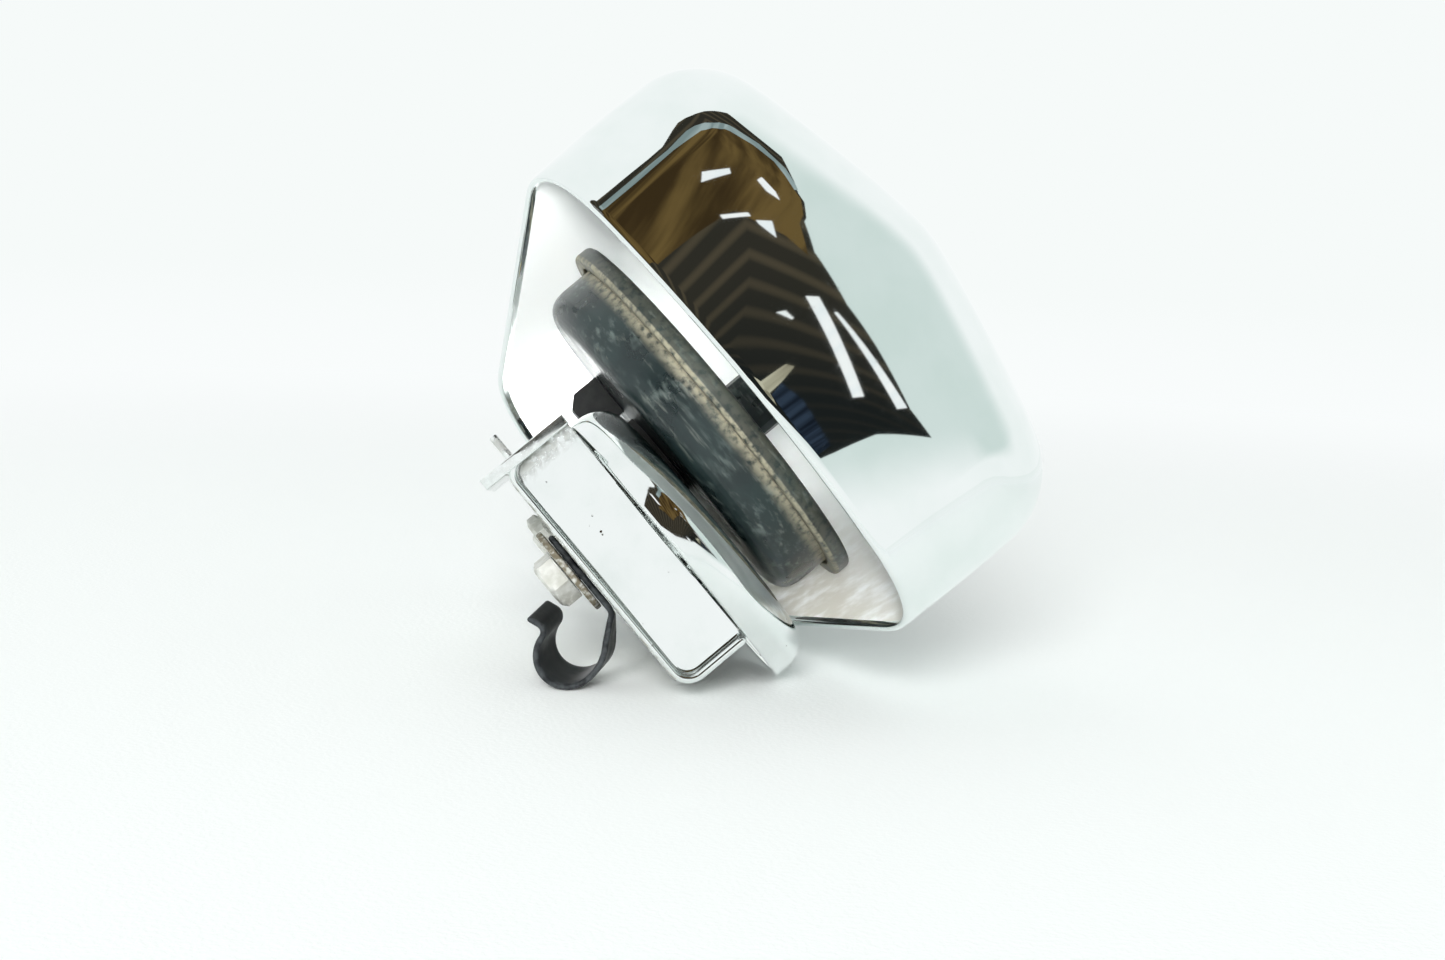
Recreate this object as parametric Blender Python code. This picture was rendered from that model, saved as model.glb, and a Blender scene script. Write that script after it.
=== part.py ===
"""Electric disc horn inside a chromed bell-shaped cover, on a bracket with a cable clip.

Sizes are metres. The horn's own frame has its origin at the middle of the flange, Z along the horn's axis
towards the front of the cover, X across the cover and Y towards the cover's narrow end. The whole assembly
hangs on one empty that lays it down on a table: on the clip's loop, the dish's edge and a corner of the cover.
"""
import math

import bmesh
import bpy
import numpy as np
from mathutils import Matrix

MM = 0.001

# Lying pose on the table, degrees about X, Y and Z
LYING_TURN = (-11.91, 48.04, -5.05)

# Clearances
SEAT = 0.10 * MM
GAP = 0.25 * MM
BOLT_PLAY = 0.30 * MM
STROKE = 0.20 * MM

# Facets round a turned piece
ROUND_LARGE = 52
ROUND_MIDDLE = 32
ROUND_SMALL = 16
SHARP_ANGLE = math.radians(32)

# Bell-shaped cover
COVER_LENGTH = 138.0 * MM
COVER_WIDE_ROOM = 17.7 * MM
COVER_NARROW_STEP = 9.5 * MM
COVER_WIDE_BOW = 9.0 * MM
COVER_NARROW_BOW = 3.0 * MM
COVER_WIDE_CORNER = 20.0 * MM
COVER_NARROW_CORNER = 17.5 * MM
COVER_RIDGE_DEPTH = 61.0 * MM
COVER_ROOF_SLOPE = math.radians(10.7)
COVER_RIDGE_SOFT = 5.0 * MM
COVER_CROWN = 4.0 * MM
COVER_ROUND_SIDE = 17.0 * MM
COVER_ROUND_WIDE = 21.0 * MM
COVER_SHEET = 1.6 * MM
COVER_POINTS = 76
COVER_ROUND_TURNS = (0.0, 22.5, 45.0, 67.5, 90.0)
COVER_FRONT_RINGS = (0.66, 0.33)
OUTLINE_STEPS = 40
REACH_ROUNDS = 8
COVER_TILT = math.radians(-16.66)
COVER_RIM_CENTRE = (-1.6 * MM, -2.2 * MM, -18.5 * MM)

# Horn flange, from its front backwards
FLANGE_RADIUS = 44.5 * MM
RING_FRONT = 0.6 * MM
RING_SHEET = 0.8 * MM
RING_LIP = 2.6 * MM
RING_EDGE_SHARE = 0.7
CAP_SHEET = 0.7 * MM
DIAPHRAGM_SHEET = 0.35 * MM
GASKET_SHEET = 0.3 * MM
GASKET_WIDTH = 4.0 * MM
HOUSING_SHEET = 1.5 * MM
HOUSING_FLANGE = 0.8 * MM
HOUSING_DEPTH = 14.2 * MM
DRUM_STEP = 3.5 * MM
DRUM_ROUND = 4.0 * MM

# Front cap and the post that carries the cover
CAP_RISE = 3.0 * MM
CAP_DOME_STEP = 6.5 * MM
CAP_DOME_WIDTH = 5.0 * MM
SLOT_COUNT = 8
SLOT_INNER = 15.0 * MM
SLOT_MARGIN = 4.0 * MM
SLOT_WIDTH = 5.0 * MM
POST_OFFSET = 4.5 * MM
POST_SPIGOT_RADIUS = 3.0 * MM
POST_SHOULDER_RADIUS = 7.0 * MM
POST_SHOULDER_HEIGHT = 7.0 * MM
POST_SHANK_RADIUS = 4.5 * MM
POST_FOOT_RADIUS = 9.0 * MM
POST_FOOT_SHEET = 2.0 * MM
POST_FOOT_AIR = 0.7 * MM

# Magnet, armature and diaphragm
DIAPHRAGM_WAVE_RADIUS = 24.0 * MM
DIAPHRAGM_WAVE_WIDTH = 6.0 * MM
DIAPHRAGM_WAVE_RISE = 0.8 * MM
WAVE_STEPS = 6
STEM_RADIUS = 2.4 * MM
STEM_ABOVE = 2.6 * MM
STEM_WASHER_RADIUS = 6.5 * MM
STEM_WASHER_SHEET = 0.4 * MM
STEM_NUT_FLATS = 7.0 * MM
STEM_NUT_HEIGHT = 1.6 * MM
ARMATURE_RADIUS = 9.0 * MM
ARMATURE_DISC = 2.4 * MM
PLUNGER_RADIUS = 5.5 * MM
PLUNGER_LENGTH = 4.6 * MM
POLE_GAP = 0.5 * MM
POLE_ROOF = 1.5 * MM
BOBBIN_RADIUS = 18.0 * MM
BOBBIN_WALL = 0.9 * MM
BOBBIN_HEIGHT = 9.4 * MM
WINDING_INSET = 0.6 * MM

# Contact breaker
BREAKER_PIVOT_X = 31.5 * MM
BASE_SIZE = (11.0 * MM, 12.0 * MM, 4.6 * MM)
CONTACT_WIDTH = 4.0 * MM
CONTACT_SHEET = 0.5 * MM
CONTACT_REACH = 6.5 * MM
CONTACT_POINT_RADIUS = 1.2 * MM
CONTACT_AIR = 0.4 * MM
ARM_SHEET = 0.35 * MM
ARM_WIDTH = 5.0 * MM
ARM_TIP_X = 11.0 * MM
ARM_LEG = 1.6 * MM
ARM_ABOVE_BOBBIN = 0.45 * MM

# Tone screw and terminals at the back of the drum
TONE_PLACE = (8.0 * MM, 30.0 * MM)
TONE_RADIUS = 2.0 * MM
TONE_INSIDE = 4.0 * MM
TONE_OUTSIDE = 5.6 * MM
TONE_SLOT_WIDTH = 0.8 * MM
TONE_SLOT_DEPTH = 1.2 * MM
TONE_NUT_FLATS = 8.0 * MM
TONE_NUT_HEIGHT = 2.6 * MM
BLOCK_CORNER = (-22.5 * MM, 8.0 * MM)
BLOCK_SIZE = (10.0 * MM, 14.0 * MM, 8.6 * MM)
BLOCK_CHAMFER = 2.4 * MM
BLADE_WIDTH = 6.3 * MM
BLADE_SHEET = 0.8 * MM
BLADE_LENGTH = 9.0 * MM
BLADE_SPACING = 5.0 * MM

# Rear stud and what it clamps
STUD_RADIUS = 4.0 * MM
STUD_PAST_NUT = 1.0 * MM
STUD_NUT_FLATS = 13.0 * MM
STUD_NUT_HEIGHT = 3.4 * MM
RUBBER_RADIUS = 10.0 * MM
RUBBER_SHEET = 2.0 * MM
TUBE_WALL = 1.4 * MM

# Bracket: round dish, channel with a recessed web, and a mounting ear
DISH_CENTRE = (17.5 * MM, -16.0 * MM)
DISH_RADIUS = 34.5 * MM
DISH_DEPTH = 10.0 * MM
DISH_ROUND = 6.0 * MM
DISH_SHEET = 1.6 * MM
CHANNEL_SHEET = 1.8 * MM
CHANNEL_DEPTH = 16.6 * MM
CHANNEL_LEFT = -19.0 * MM
CHANNEL_RIGHT = 40.0 * MM
CHANNEL_NEAR = -42.0 * MM
CHANNEL_FAR = 14.0 * MM
CHANNEL_BEND = 5.0 * MM
TAPER_START_Y = -24.0 * MM
TAPER_END_X = 28.0 * MM
BEND_POINTS = 5
WEB_RECESS = 3.5 * MM
EAR_LEFT = -27.0 * MM
EAR_WIDTH = 34.0 * MM
EAR_REACH = 46.0 * MM
EAR_HOLE_RADIUS = 4.3 * MM
EAR_LIP = 4.5 * MM
EAR_ROOT = 5.5 * MM
EAR_POINTS = 12

# Cable clip with its bolt
CLIP_PLACE = (6.2 * MM, -28.0 * MM)
CLIP_WIDTH = 12.0 * MM
CLIP_SHEET = 1.3 * MM
CLIP_TAB_BEHIND = 8.0 * MM
CLIP_TAB_AHEAD = 11.0 * MM
CLIP_BEND_RADIUS = 3.0 * MM
CLIP_LEG = 5.7 * MM
CLIP_KNEE_RADIUS = 8.0 * MM
CLIP_LOOP_RADIUS = 6.4 * MM
CLIP_NECK_RADIUS = 1.9 * MM
CLIP_TIP = 2.6 * MM
CLIP_TURNS = (45.0, 45.0, 165.0, -95.0)
CLIP_TWIST = math.radians(24.5)
CLIP_STEP = math.radians(15)
CLIP_BOLT_RADIUS = 3.0 * MM
CLIP_BOLT_FLATS = 11.1 * MM
CLIP_HEAD_HEIGHT = 4.8 * MM
CLIP_WASHER_RADIUS = 10.0 * MM
CLIP_WASHER_SHEET = 1.3 * MM
CLIP_NUT_FLATS = 10.0 * MM
CLIP_NUT_HEIGHT = 4.6 * MM
CLIP_BOLT_PAST_NUT = 1.6 * MM

# Widths that follow the horn's flange, with the room that each keeps to it
DRUM_RADIUS = FLANGE_RADIUS - DRUM_STEP
CAP_DOME_RADIUS = FLANGE_RADIUS - CAP_DOME_STEP
CAP_TOP_RADIUS = CAP_DOME_RADIUS - CAP_DOME_WIDTH
SLOT_OUTER = CAP_TOP_RADIUS - SLOT_MARGIN
COVER_WIDE = 2 * (FLANGE_RADIUS + COVER_WIDE_ROOM)
COVER_NARROW = 2 * (FLANGE_RADIUS - COVER_NARROW_STEP)

# Levels along the horn's axis, worked out from the sheets and the clearances
CAP_FLANGE_TOP = RING_FRONT - RING_SHEET - SEAT
CAP_FLANGE_LOW = CAP_FLANGE_TOP - CAP_SHEET
CAP_TOP = CAP_FLANGE_TOP + CAP_RISE
DIAPHRAGM_TOP = CAP_FLANGE_LOW - STROKE - SEAT
DIAPHRAGM_LOW = DIAPHRAGM_TOP - DIAPHRAGM_SHEET
GASKET_TOP = DIAPHRAGM_LOW - STROKE - SEAT
GASKET_LOW = GASKET_TOP - GASKET_SHEET
HOUSING_TOP = GASKET_LOW - SEAT
HOUSING_FLANGE_LOW = HOUSING_TOP - HOUSING_FLANGE
RING_LOW = HOUSING_FLANGE_LOW - SEAT - RING_SHEET
HOUSING_FLOOR = HOUSING_TOP - HOUSING_DEPTH + HOUSING_SHEET
HOUSING_BACK = HOUSING_TOP - HOUSING_DEPTH
RUBBER_TOP = HOUSING_BACK - GAP
RUBBER_LOW = RUBBER_TOP - RUBBER_SHEET
DISH_FRONT = RUBBER_LOW - GAP
DISH_FLOOR = DISH_FRONT - DISH_SHEET
DISH_BACK = DISH_FRONT - DISH_DEPTH
CHANNEL_FRONT = DISH_BACK - GAP
PLATE_BACK = CHANNEL_FRONT - CHANNEL_DEPTH
PLATE_FRONT = PLATE_BACK + CHANNEL_SHEET
STUD_NUT_TOP = PLATE_BACK - GAP
STUD_NUT_LOW = STUD_NUT_TOP - STUD_NUT_HEIGHT
BOBBIN_LOW = HOUSING_FLOOR + GAP
BOBBIN_TOP = BOBBIN_LOW + BOBBIN_HEIGHT
ARMATURE_TOP = DIAPHRAGM_LOW - SEAT
ARMATURE_LOW = ARMATURE_TOP - ARMATURE_DISC
PLUNGER_LOW = ARMATURE_LOW - PLUNGER_LENGTH
POLE_TOP = PLUNGER_LOW - POLE_GAP
CLIP_TOP = PLATE_BACK - GAP
CLIP_LOW = CLIP_TOP - CLIP_SHEET
CLIP_WASHER_TOP = CLIP_LOW - GAP
CLIP_WASHER_LOW = CLIP_WASHER_TOP - CLIP_WASHER_SHEET
CLIP_HEAD_TOP = CLIP_WASHER_LOW - GAP
CLIP_NUT_LOW = PLATE_FRONT + GAP
CLIP_NUT_TOP = CLIP_NUT_LOW + CLIP_NUT_HEIGHT


def finish(name, colour, roughness, metallic):
    """A plain Principled material."""
    made = bpy.data.materials.new(name)
    made.use_nodes = True
    shader = made.node_tree.nodes["Principled BSDF"]
    shader.inputs["Base Color"].default_value = (*colour, 1.0)
    shader.inputs["Roughness"].default_value = roughness
    shader.inputs["Metallic"].default_value = metallic
    made.diffuse_color = (*colour, 1.0)
    return made


def empty(name, parent=None):
    """An empty that carries other pieces."""
    made = bpy.data.objects.new(name, None)
    bpy.context.scene.collection.objects.link(made)
    made.parent = parent
    return made


def piece(name, bm, surface, parent, place=(0.0, 0.0, 0.0)):
    """A named object from a bmesh, with outward faces and smooth shading between sharp edges."""
    bmesh.ops.recalc_face_normals(bm, faces=bm.faces)
    mesh = bpy.data.meshes.new(name)
    bm.to_mesh(mesh)
    bm.free()
    mesh.shade_smooth()
    mesh.set_sharp_from_angle(angle=SHARP_ANGLE)
    if surface is not None:
        mesh.materials.append(surface)
    made = bpy.data.objects.new(name, mesh)
    bpy.context.scene.collection.objects.link(made)
    made.parent = parent
    made.location = place
    return made


def as_tool(tool):
    """Marks an object as a cutter or an adder that is no piece of the horn."""
    tool.hide_render = True
    tool.display_type = "WIRE"
    return tool


def combine(body, operation, *tools):
    """Live Boolean modifiers on a body."""
    for tool in tools:
        modifier = body.modifiers.new(tool.name, "BOOLEAN")
        modifier.operation = operation
        modifier.solver = "EXACT"
        modifier.object = as_tool(tool)
    return body


def turned_bm(profile, steps):
    """A profile of (radius, height) points spun once round Z; points on the axis close the shape."""
    bm = bmesh.new()
    rows = [bm.verts.new((radius, 0.0, height)) for radius, height in profile]
    edges = [bm.edges.new(pair) for pair in zip(rows, rows[1:])]
    if profile[0][0] > 0.0:
        edges.append(bm.edges.new((rows[-1], rows[0])))
    bmesh.ops.spin(
        bm, geom=rows + edges, cent=(0, 0, 0), axis=(0, 0, 1), angle=math.tau, steps=steps, use_merge=True
    )
    bmesh.ops.remove_doubles(bm, verts=bm.verts, dist=1e-7)
    return bm


def turned(name, profile, surface, parent, place=(0.0, 0.0), steps=ROUND_MIDDLE):
    """A turned piece on an axis parallel to Z."""
    return piece(name, turned_bm(profile, steps), surface, parent, (*place, 0.0))


def washer_profile(inner, outer, low, high):
    """Section of a flat ring."""
    return [(inner, high), (outer, high), (outer, low), (inner, low)]


def rod(name, radius, low, high, parent, place=(0.0, 0.0), steps=ROUND_SMALL, surface=None):
    """A plain round rod along Z."""
    profile = [(0.0, high), (radius, high), (radius, low), (0.0, low)]
    return turned(name, profile, surface, parent, place, steps)


def prism_bm(outline, low, high):
    """A flat outline of (x, y) points pulled up from low to high."""
    bm = bmesh.new()
    base = bm.faces.new([bm.verts.new((x, y, low)) for x, y in outline])
    grown = bmesh.ops.extrude_face_region(bm, geom=[base])
    lifted = [item for item in grown["geom"] if isinstance(item, bmesh.types.BMVert)]
    bmesh.ops.translate(bm, verts=lifted, vec=(0.0, 0.0, high - low))
    return bm


def prism(name, outline, low, high, surface, parent, place=(0.0, 0.0)):
    """A prism along Z."""
    return piece(name, prism_bm(outline, low, high), surface, parent, (*place, 0.0))


def box_outline(x0, x1, y0, y1):
    """Corners of an upright rectangle."""
    return [(x0, y0), (x1, y0), (x1, y1), (x0, y1)]


def hexagon(flats):
    """Corners of a hexagon with this size across its flats."""
    corner = flats / math.sqrt(3)
    angles = [math.radians(60 * k) for k in range(6)]
    return [(corner * math.cos(a), corner * math.sin(a)) for a in angles]


def hex_nut(name, flats, bore, low, high, surface, parent, place=(0.0, 0.0)):
    """A hexagon nut with a plain bore."""
    nut = prism(name, hexagon(flats), low, high, surface, parent, place)
    return combine(nut, "DIFFERENCE", rod(name + "_bore", bore, low - flats, high + flats, parent, place))


def cover_half():
    """Right half of the rim's outline: bowed wide end, corner, straight side, corner, narrow end."""
    near = -COVER_LENGTH / 2
    far = COVER_LENGTH / 2
    wide_corner = np.array([COVER_WIDE / 2, near + COVER_WIDE_BOW])
    narrow_corner = np.array([COVER_NARROW / 2, far - COVER_NARROW_BOW])
    side = narrow_corner - wide_corner
    side = side / np.linalg.norm(side)
    share = np.linspace(0.0, 1.0, OUTLINE_STEPS)[:, None]
    x = share * (COVER_WIDE / 2 - COVER_WIDE_CORNER)
    wide_end = np.hstack([x, near + COVER_WIDE_BOW * (2 * x / COVER_WIDE) ** 2])
    x = (1 - share) * (COVER_NARROW / 2 - COVER_NARROW_CORNER)
    narrow_end = np.hstack([x, far - COVER_NARROW_BOW * (2 * x / COVER_NARROW) ** 2])

    def corner(start, middle, end):
        return (1 - share) ** 2 * start + 2 * share * (1 - share) * middle + share ** 2 * end

    first = corner(wide_end[-1], wide_corner, wide_corner + side * COVER_WIDE_CORNER)
    second = corner(narrow_corner - side * COVER_NARROW_CORNER, narrow_corner, narrow_end[0])
    straight = first[-1] + share * (second[0] - first[-1])
    return np.vstack([wide_end[:-1], first[:-1], straight[:-1], second[:-1], narrow_end])


def cover_outline():
    """The rim's closed outline, evenly spaced and anticlockwise, with its outward normals."""
    right = cover_half()
    left = right[::-1][1:-1] * (-1.0, 1.0)
    loop = np.vstack([right, left, right[:1]])
    walked = np.concatenate([[0.0], np.cumsum(np.linalg.norm(np.diff(loop, axis=0), axis=1))])
    stops = np.linspace(0.0, walked[-1], COVER_POINTS + 1)[:-1]
    points = np.stack([np.interp(stops, walked, loop[:, k]) for k in range(2)], axis=1)
    along = np.roll(points, -1, axis=0) - np.roll(points, 1, axis=0)
    along /= np.linalg.norm(along, axis=1)[:, None]
    return points, np.stack([along[:, 1], -along[:, 0]], axis=1)


def front_height(x, y):
    """Height of the cover's front: a shallow roof, soft ridge at x = 0, that falls a little to both ends."""
    fall = np.sqrt(x ** 2 + COVER_RIDGE_SOFT ** 2) - COVER_RIDGE_SOFT
    return COVER_RIDGE_DEPTH - math.tan(COVER_ROOF_SLOPE) * fall - COVER_CROWN * (2 * y / COVER_LENGTH) ** 2


def cover_rings(skin):
    """Rings of one side of the cover's sheet, from the rim over the rounded edge to the middle of the front.

    skin is how far this side lies inside the outer surface.
    """
    outline, normal = cover_outline()
    wide_share = np.clip(-normal[:, 1:], 0.0, 1.0) ** 2
    rounding = COVER_ROUND_SIDE + (COVER_ROUND_WIDE - COVER_ROUND_SIDE) * wide_share - skin
    start = outline - normal * skin
    rings = [np.column_stack([start, np.zeros(len(start))])]
    for turn in np.radians(COVER_ROUND_TURNS):
        flat = start - normal * rounding * (1 - math.cos(turn))
        height = front_height(flat[:, 0], flat[:, 1]) - skin - rounding[:, 0] * (1 - math.sin(turn))
        rings.append(np.column_stack([flat, height]))
    edge = rings[-1][:, :2]
    for share in COVER_FRONT_RINGS:
        flat = edge * share
        rings.append(np.column_stack([flat, front_height(flat[:, 0], flat[:, 1]) - skin]))
    middle = np.array([0.0, 0.0, front_height(0.0, 0.0) - skin])
    return rings, middle


def build_cover(surface, parent):
    """The pressed cover: outer and inner side joined along the rim."""
    bm = bmesh.new()
    rims = []
    for skin in (0.0, COVER_SHEET):
        rings, middle = cover_rings(skin)
        loops = [[bm.verts.new(point) for point in ring] for ring in rings]
        top = bm.verts.new(middle)
        for low, high in zip(loops, loops[1:]):
            join_loops(bm, low, high)
        last = loops[-1]
        for here, there in zip(last, last[1:] + last[:1]):
            bm.faces.new((here, there, top))
        rims.append(loops[0])
    join_loops(bm, *rims)
    return piece("cover_shell", bm, surface, parent)


def join_loops(bm, low, high):
    """Quads between two closed loops of as many vertices."""
    for k in range(len(low)):
        n = (k + 1) % len(low)
        bm.faces.new((low[k], low[n], high[n], high[k]))


def cover_reach(x, y):
    """Height in the horn's frame where a line along the horn's axis meets the inside of the cover's front."""
    turn = np.array(Matrix.Rotation(-COVER_TILT, 3, "X"))
    height = COVER_RIDGE_DEPTH
    for _ in range(REACH_ROUNDS):
        seen = turn @ (np.array([x, y, height]) - np.array(COVER_RIM_CENTRE))
        inside = front_height(seen[0], seen[1]) - COVER_SHEET - POST_FOOT_AIR
        height += (inside - seen[2]) / math.cos(COVER_TILT)
    return height


def build_cover_post(surface, parent):
    """The post from the front cap to the cover: spigot, shoulder, shank and a foot shaped to the cover."""
    levels = (
        (POST_SPIGOT_RADIUS, CAP_TOP - CAP_SHEET),
        (POST_SPIGOT_RADIUS, CAP_TOP + SEAT),
        (POST_SHOULDER_RADIUS, CAP_TOP + SEAT),
        (POST_SHOULDER_RADIUS, CAP_TOP + POST_SHOULDER_HEIGHT),
        (POST_SHANK_RADIUS, CAP_TOP + POST_SHOULDER_HEIGHT),
    )
    angles = [math.tau * k / ROUND_SMALL for k in range(ROUND_SMALL)]
    bm = bmesh.new()
    loops = []
    for radius, height in levels:
        spots = [(POST_OFFSET + radius * math.cos(a), radius * math.sin(a)) for a in angles]
        loops.append([bm.verts.new((x, y, height)) for x, y in spots])
    foot = (
        (POST_SHANK_RADIUS, POST_FOOT_SHEET),
        (POST_FOOT_RADIUS, POST_FOOT_SHEET),
        (POST_FOOT_RADIUS, 0.0),
    )
    for radius, drop in foot:
        spots = [(POST_OFFSET + radius * math.cos(a), radius * math.sin(a)) for a in angles]
        loops.append([bm.verts.new((x, y, cover_reach(x, y) - drop)) for x, y in spots])
    for low, high in zip(loops, loops[1:]):
        join_loops(bm, low, high)
    bm.faces.new(loops[0])
    centre = bm.verts.new((POST_OFFSET, 0.0, cover_reach(POST_OFFSET, 0.0)))
    last = loops[-1]
    for here, there in zip(last, last[1:] + last[:1]):
        bm.faces.new((here, there, centre))
    return piece("cover_post", bm, surface, parent)


def build_horn_case(paint, board, parent):
    """Drum, crimped ring, gasket and front cap."""
    ring_inside = FLANGE_RADIUS - RING_SHEET
    sheet_radius = ring_inside - SEAT
    lip = FLANGE_RADIUS - RING_LIP
    round_turns = [math.radians(a) for a in (0, 30, 60, 90)]

    def corner(radius):
        centre_r = DRUM_RADIUS - DRUM_ROUND
        centre_z = HOUSING_BACK + DRUM_ROUND
        return [(centre_r + radius * math.cos(a), centre_z - radius * math.sin(a)) for a in round_turns]

    outside = [
        (sheet_radius, HOUSING_TOP), (sheet_radius, HOUSING_FLANGE_LOW), (DRUM_RADIUS, HOUSING_FLANGE_LOW),
    ]
    stud_hole = STUD_RADIUS + BOLT_PLAY
    floor = [(stud_hole, HOUSING_BACK), (stud_hole, HOUSING_FLOOR)]
    inside = corner(DRUM_ROUND - HOUSING_SHEET)[::-1] + [(DRUM_RADIUS - HOUSING_SHEET, HOUSING_TOP)]
    profile = outside + corner(DRUM_ROUND) + floor + inside
    drum = turned("horn_housing", profile, paint, parent, steps=ROUND_LARGE)
    tone_bore = TONE_RADIUS + BOLT_PLAY
    hole = rod("tone_hole", tone_bore, HOUSING_BACK - GAP, HOUSING_FLOOR + GAP, parent, TONE_PLACE)
    combine(drum, "DIFFERENCE", hole)
    edge = RING_SHEET * RING_EDGE_SHARE
    ring = [
        (lip, RING_FRONT), (FLANGE_RADIUS - edge, RING_FRONT), (FLANGE_RADIUS, RING_FRONT - edge),
        (FLANGE_RADIUS, RING_LOW + edge), (FLANGE_RADIUS - edge, RING_LOW), (lip, RING_LOW),
        (lip, RING_LOW + RING_SHEET), (ring_inside, RING_LOW + RING_SHEET),
        (ring_inside, RING_FRONT - RING_SHEET), (lip, RING_FRONT - RING_SHEET),
    ]
    turned("crimp_ring", ring, paint, parent, steps=ROUND_LARGE)
    gasket = washer_profile(sheet_radius - GASKET_WIDTH, sheet_radius, GASKET_LOW, GASKET_TOP)
    turned("rim_gasket", gasket, board, parent, steps=ROUND_LARGE)
    cap = [
        (0.0, CAP_TOP), (CAP_TOP_RADIUS, CAP_TOP), (CAP_DOME_RADIUS, CAP_FLANGE_TOP),
        (sheet_radius, CAP_FLANGE_TOP), (sheet_radius, CAP_FLANGE_LOW), (CAP_DOME_RADIUS, CAP_FLANGE_LOW),
        (CAP_TOP_RADIUS, CAP_TOP - CAP_SHEET), (0.0, CAP_TOP - CAP_SHEET),
    ]
    plate = turned("front_cap", cap, paint, parent, steps=ROUND_LARGE)
    spigot = POST_SPIGOT_RADIUS + SEAT
    tools = [rod("post_hole", spigot, CAP_FLANGE_LOW, CAP_TOP + CAP_RISE, parent, (POST_OFFSET, 0.0))]
    for k in range(SLOT_COUNT):
        outline = box_outline(SLOT_INNER, SLOT_OUTER, -SLOT_WIDTH / 2, SLOT_WIDTH / 2)
        slot = prism(f"sound_slot_{k}", outline, CAP_FLANGE_TOP, CAP_TOP + CAP_RISE, None, parent)
        slot.rotation_euler.z = math.tau * (k + 0.5) / SLOT_COUNT
        tools.append(slot)
    combine(plate, "DIFFERENCE", *tools)


def build_magnet(iron, copper, plastic, parent):
    """Fixed core, bobbin and winding inside the drum."""
    bore = STUD_RADIUS + BOLT_PLAY / 2
    core = [
        (0.0, POLE_TOP), (PLUNGER_RADIUS, POLE_TOP), (PLUNGER_RADIUS, HOUSING_FLOOR + GAP),
        (bore, HOUSING_FLOOR + GAP), (bore, POLE_TOP - POLE_ROOF), (0.0, POLE_TOP - POLE_ROOF),
    ]
    turned("pole_core", core, iron, parent, steps=ROUND_SMALL)
    hub_inside = PLUNGER_RADIUS + BOLT_PLAY
    hub = hub_inside + BOBBIN_WALL
    bobbin = [
        (hub_inside, BOBBIN_TOP), (BOBBIN_RADIUS, BOBBIN_TOP), (BOBBIN_RADIUS, BOBBIN_TOP - BOBBIN_WALL),
        (hub, BOBBIN_TOP - BOBBIN_WALL), (hub, BOBBIN_LOW + BOBBIN_WALL),
        (BOBBIN_RADIUS, BOBBIN_LOW + BOBBIN_WALL), (BOBBIN_RADIUS, BOBBIN_LOW), (hub_inside, BOBBIN_LOW),
    ]
    turned("coil_bobbin", bobbin, plastic, parent, steps=ROUND_MIDDLE)
    low = BOBBIN_LOW + BOBBIN_WALL + GAP
    high = BOBBIN_TOP - BOBBIN_WALL - GAP
    coil = washer_profile(hub + GAP, BOBBIN_RADIUS - WINDING_INSET, low, high)
    turned("coil_winding", coil, copper, parent, steps=ROUND_MIDDLE)


def build_armature(iron, spring, zinc, parent):
    """Diaphragm with its round wave, and the armature that is held on it by a washer and a nut."""
    outer = FLANGE_RADIUS - RING_SHEET - SEAT
    hole = STEM_RADIUS + SEAT
    start = DIAPHRAGM_WAVE_RADIUS - DIAPHRAGM_WAVE_WIDTH / 2
    shares = [k / WAVE_STEPS for k in range(WAVE_STEPS + 1)]
    wave = [(start + DIAPHRAGM_WAVE_WIDTH * k, DIAPHRAGM_WAVE_RISE * math.sin(math.pi * k)) for k in shares]
    top = [(hole, DIAPHRAGM_TOP)] + [(r, DIAPHRAGM_TOP + z) for r, z in wave] + [(outer, DIAPHRAGM_TOP)]
    below = [(r, z - DIAPHRAGM_SHEET) for r, z in top[::-1]]
    turned("diaphragm", top + below, spring, parent, steps=ROUND_LARGE)
    body = [
        (0.0, DIAPHRAGM_TOP + STEM_ABOVE), (STEM_RADIUS, DIAPHRAGM_TOP + STEM_ABOVE),
        (STEM_RADIUS, ARMATURE_TOP), (ARMATURE_RADIUS, ARMATURE_TOP), (ARMATURE_RADIUS, ARMATURE_LOW),
        (PLUNGER_RADIUS, ARMATURE_LOW), (PLUNGER_RADIUS, PLUNGER_LOW), (0.0, PLUNGER_LOW),
    ]
    turned("armature", body, iron, parent, steps=ROUND_SMALL)
    low = DIAPHRAGM_TOP + SEAT
    high = low + STEM_WASHER_SHEET
    disc = washer_profile(hole, STEM_WASHER_RADIUS, low, high)
    turned("stem_washer", disc, zinc, parent, steps=ROUND_SMALL)
    nut_low = high + SEAT
    hex_nut("stem_nut", STEM_NUT_FLATS, hole, nut_low, nut_low + STEM_NUT_HEIGHT, zinc, parent)


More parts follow.
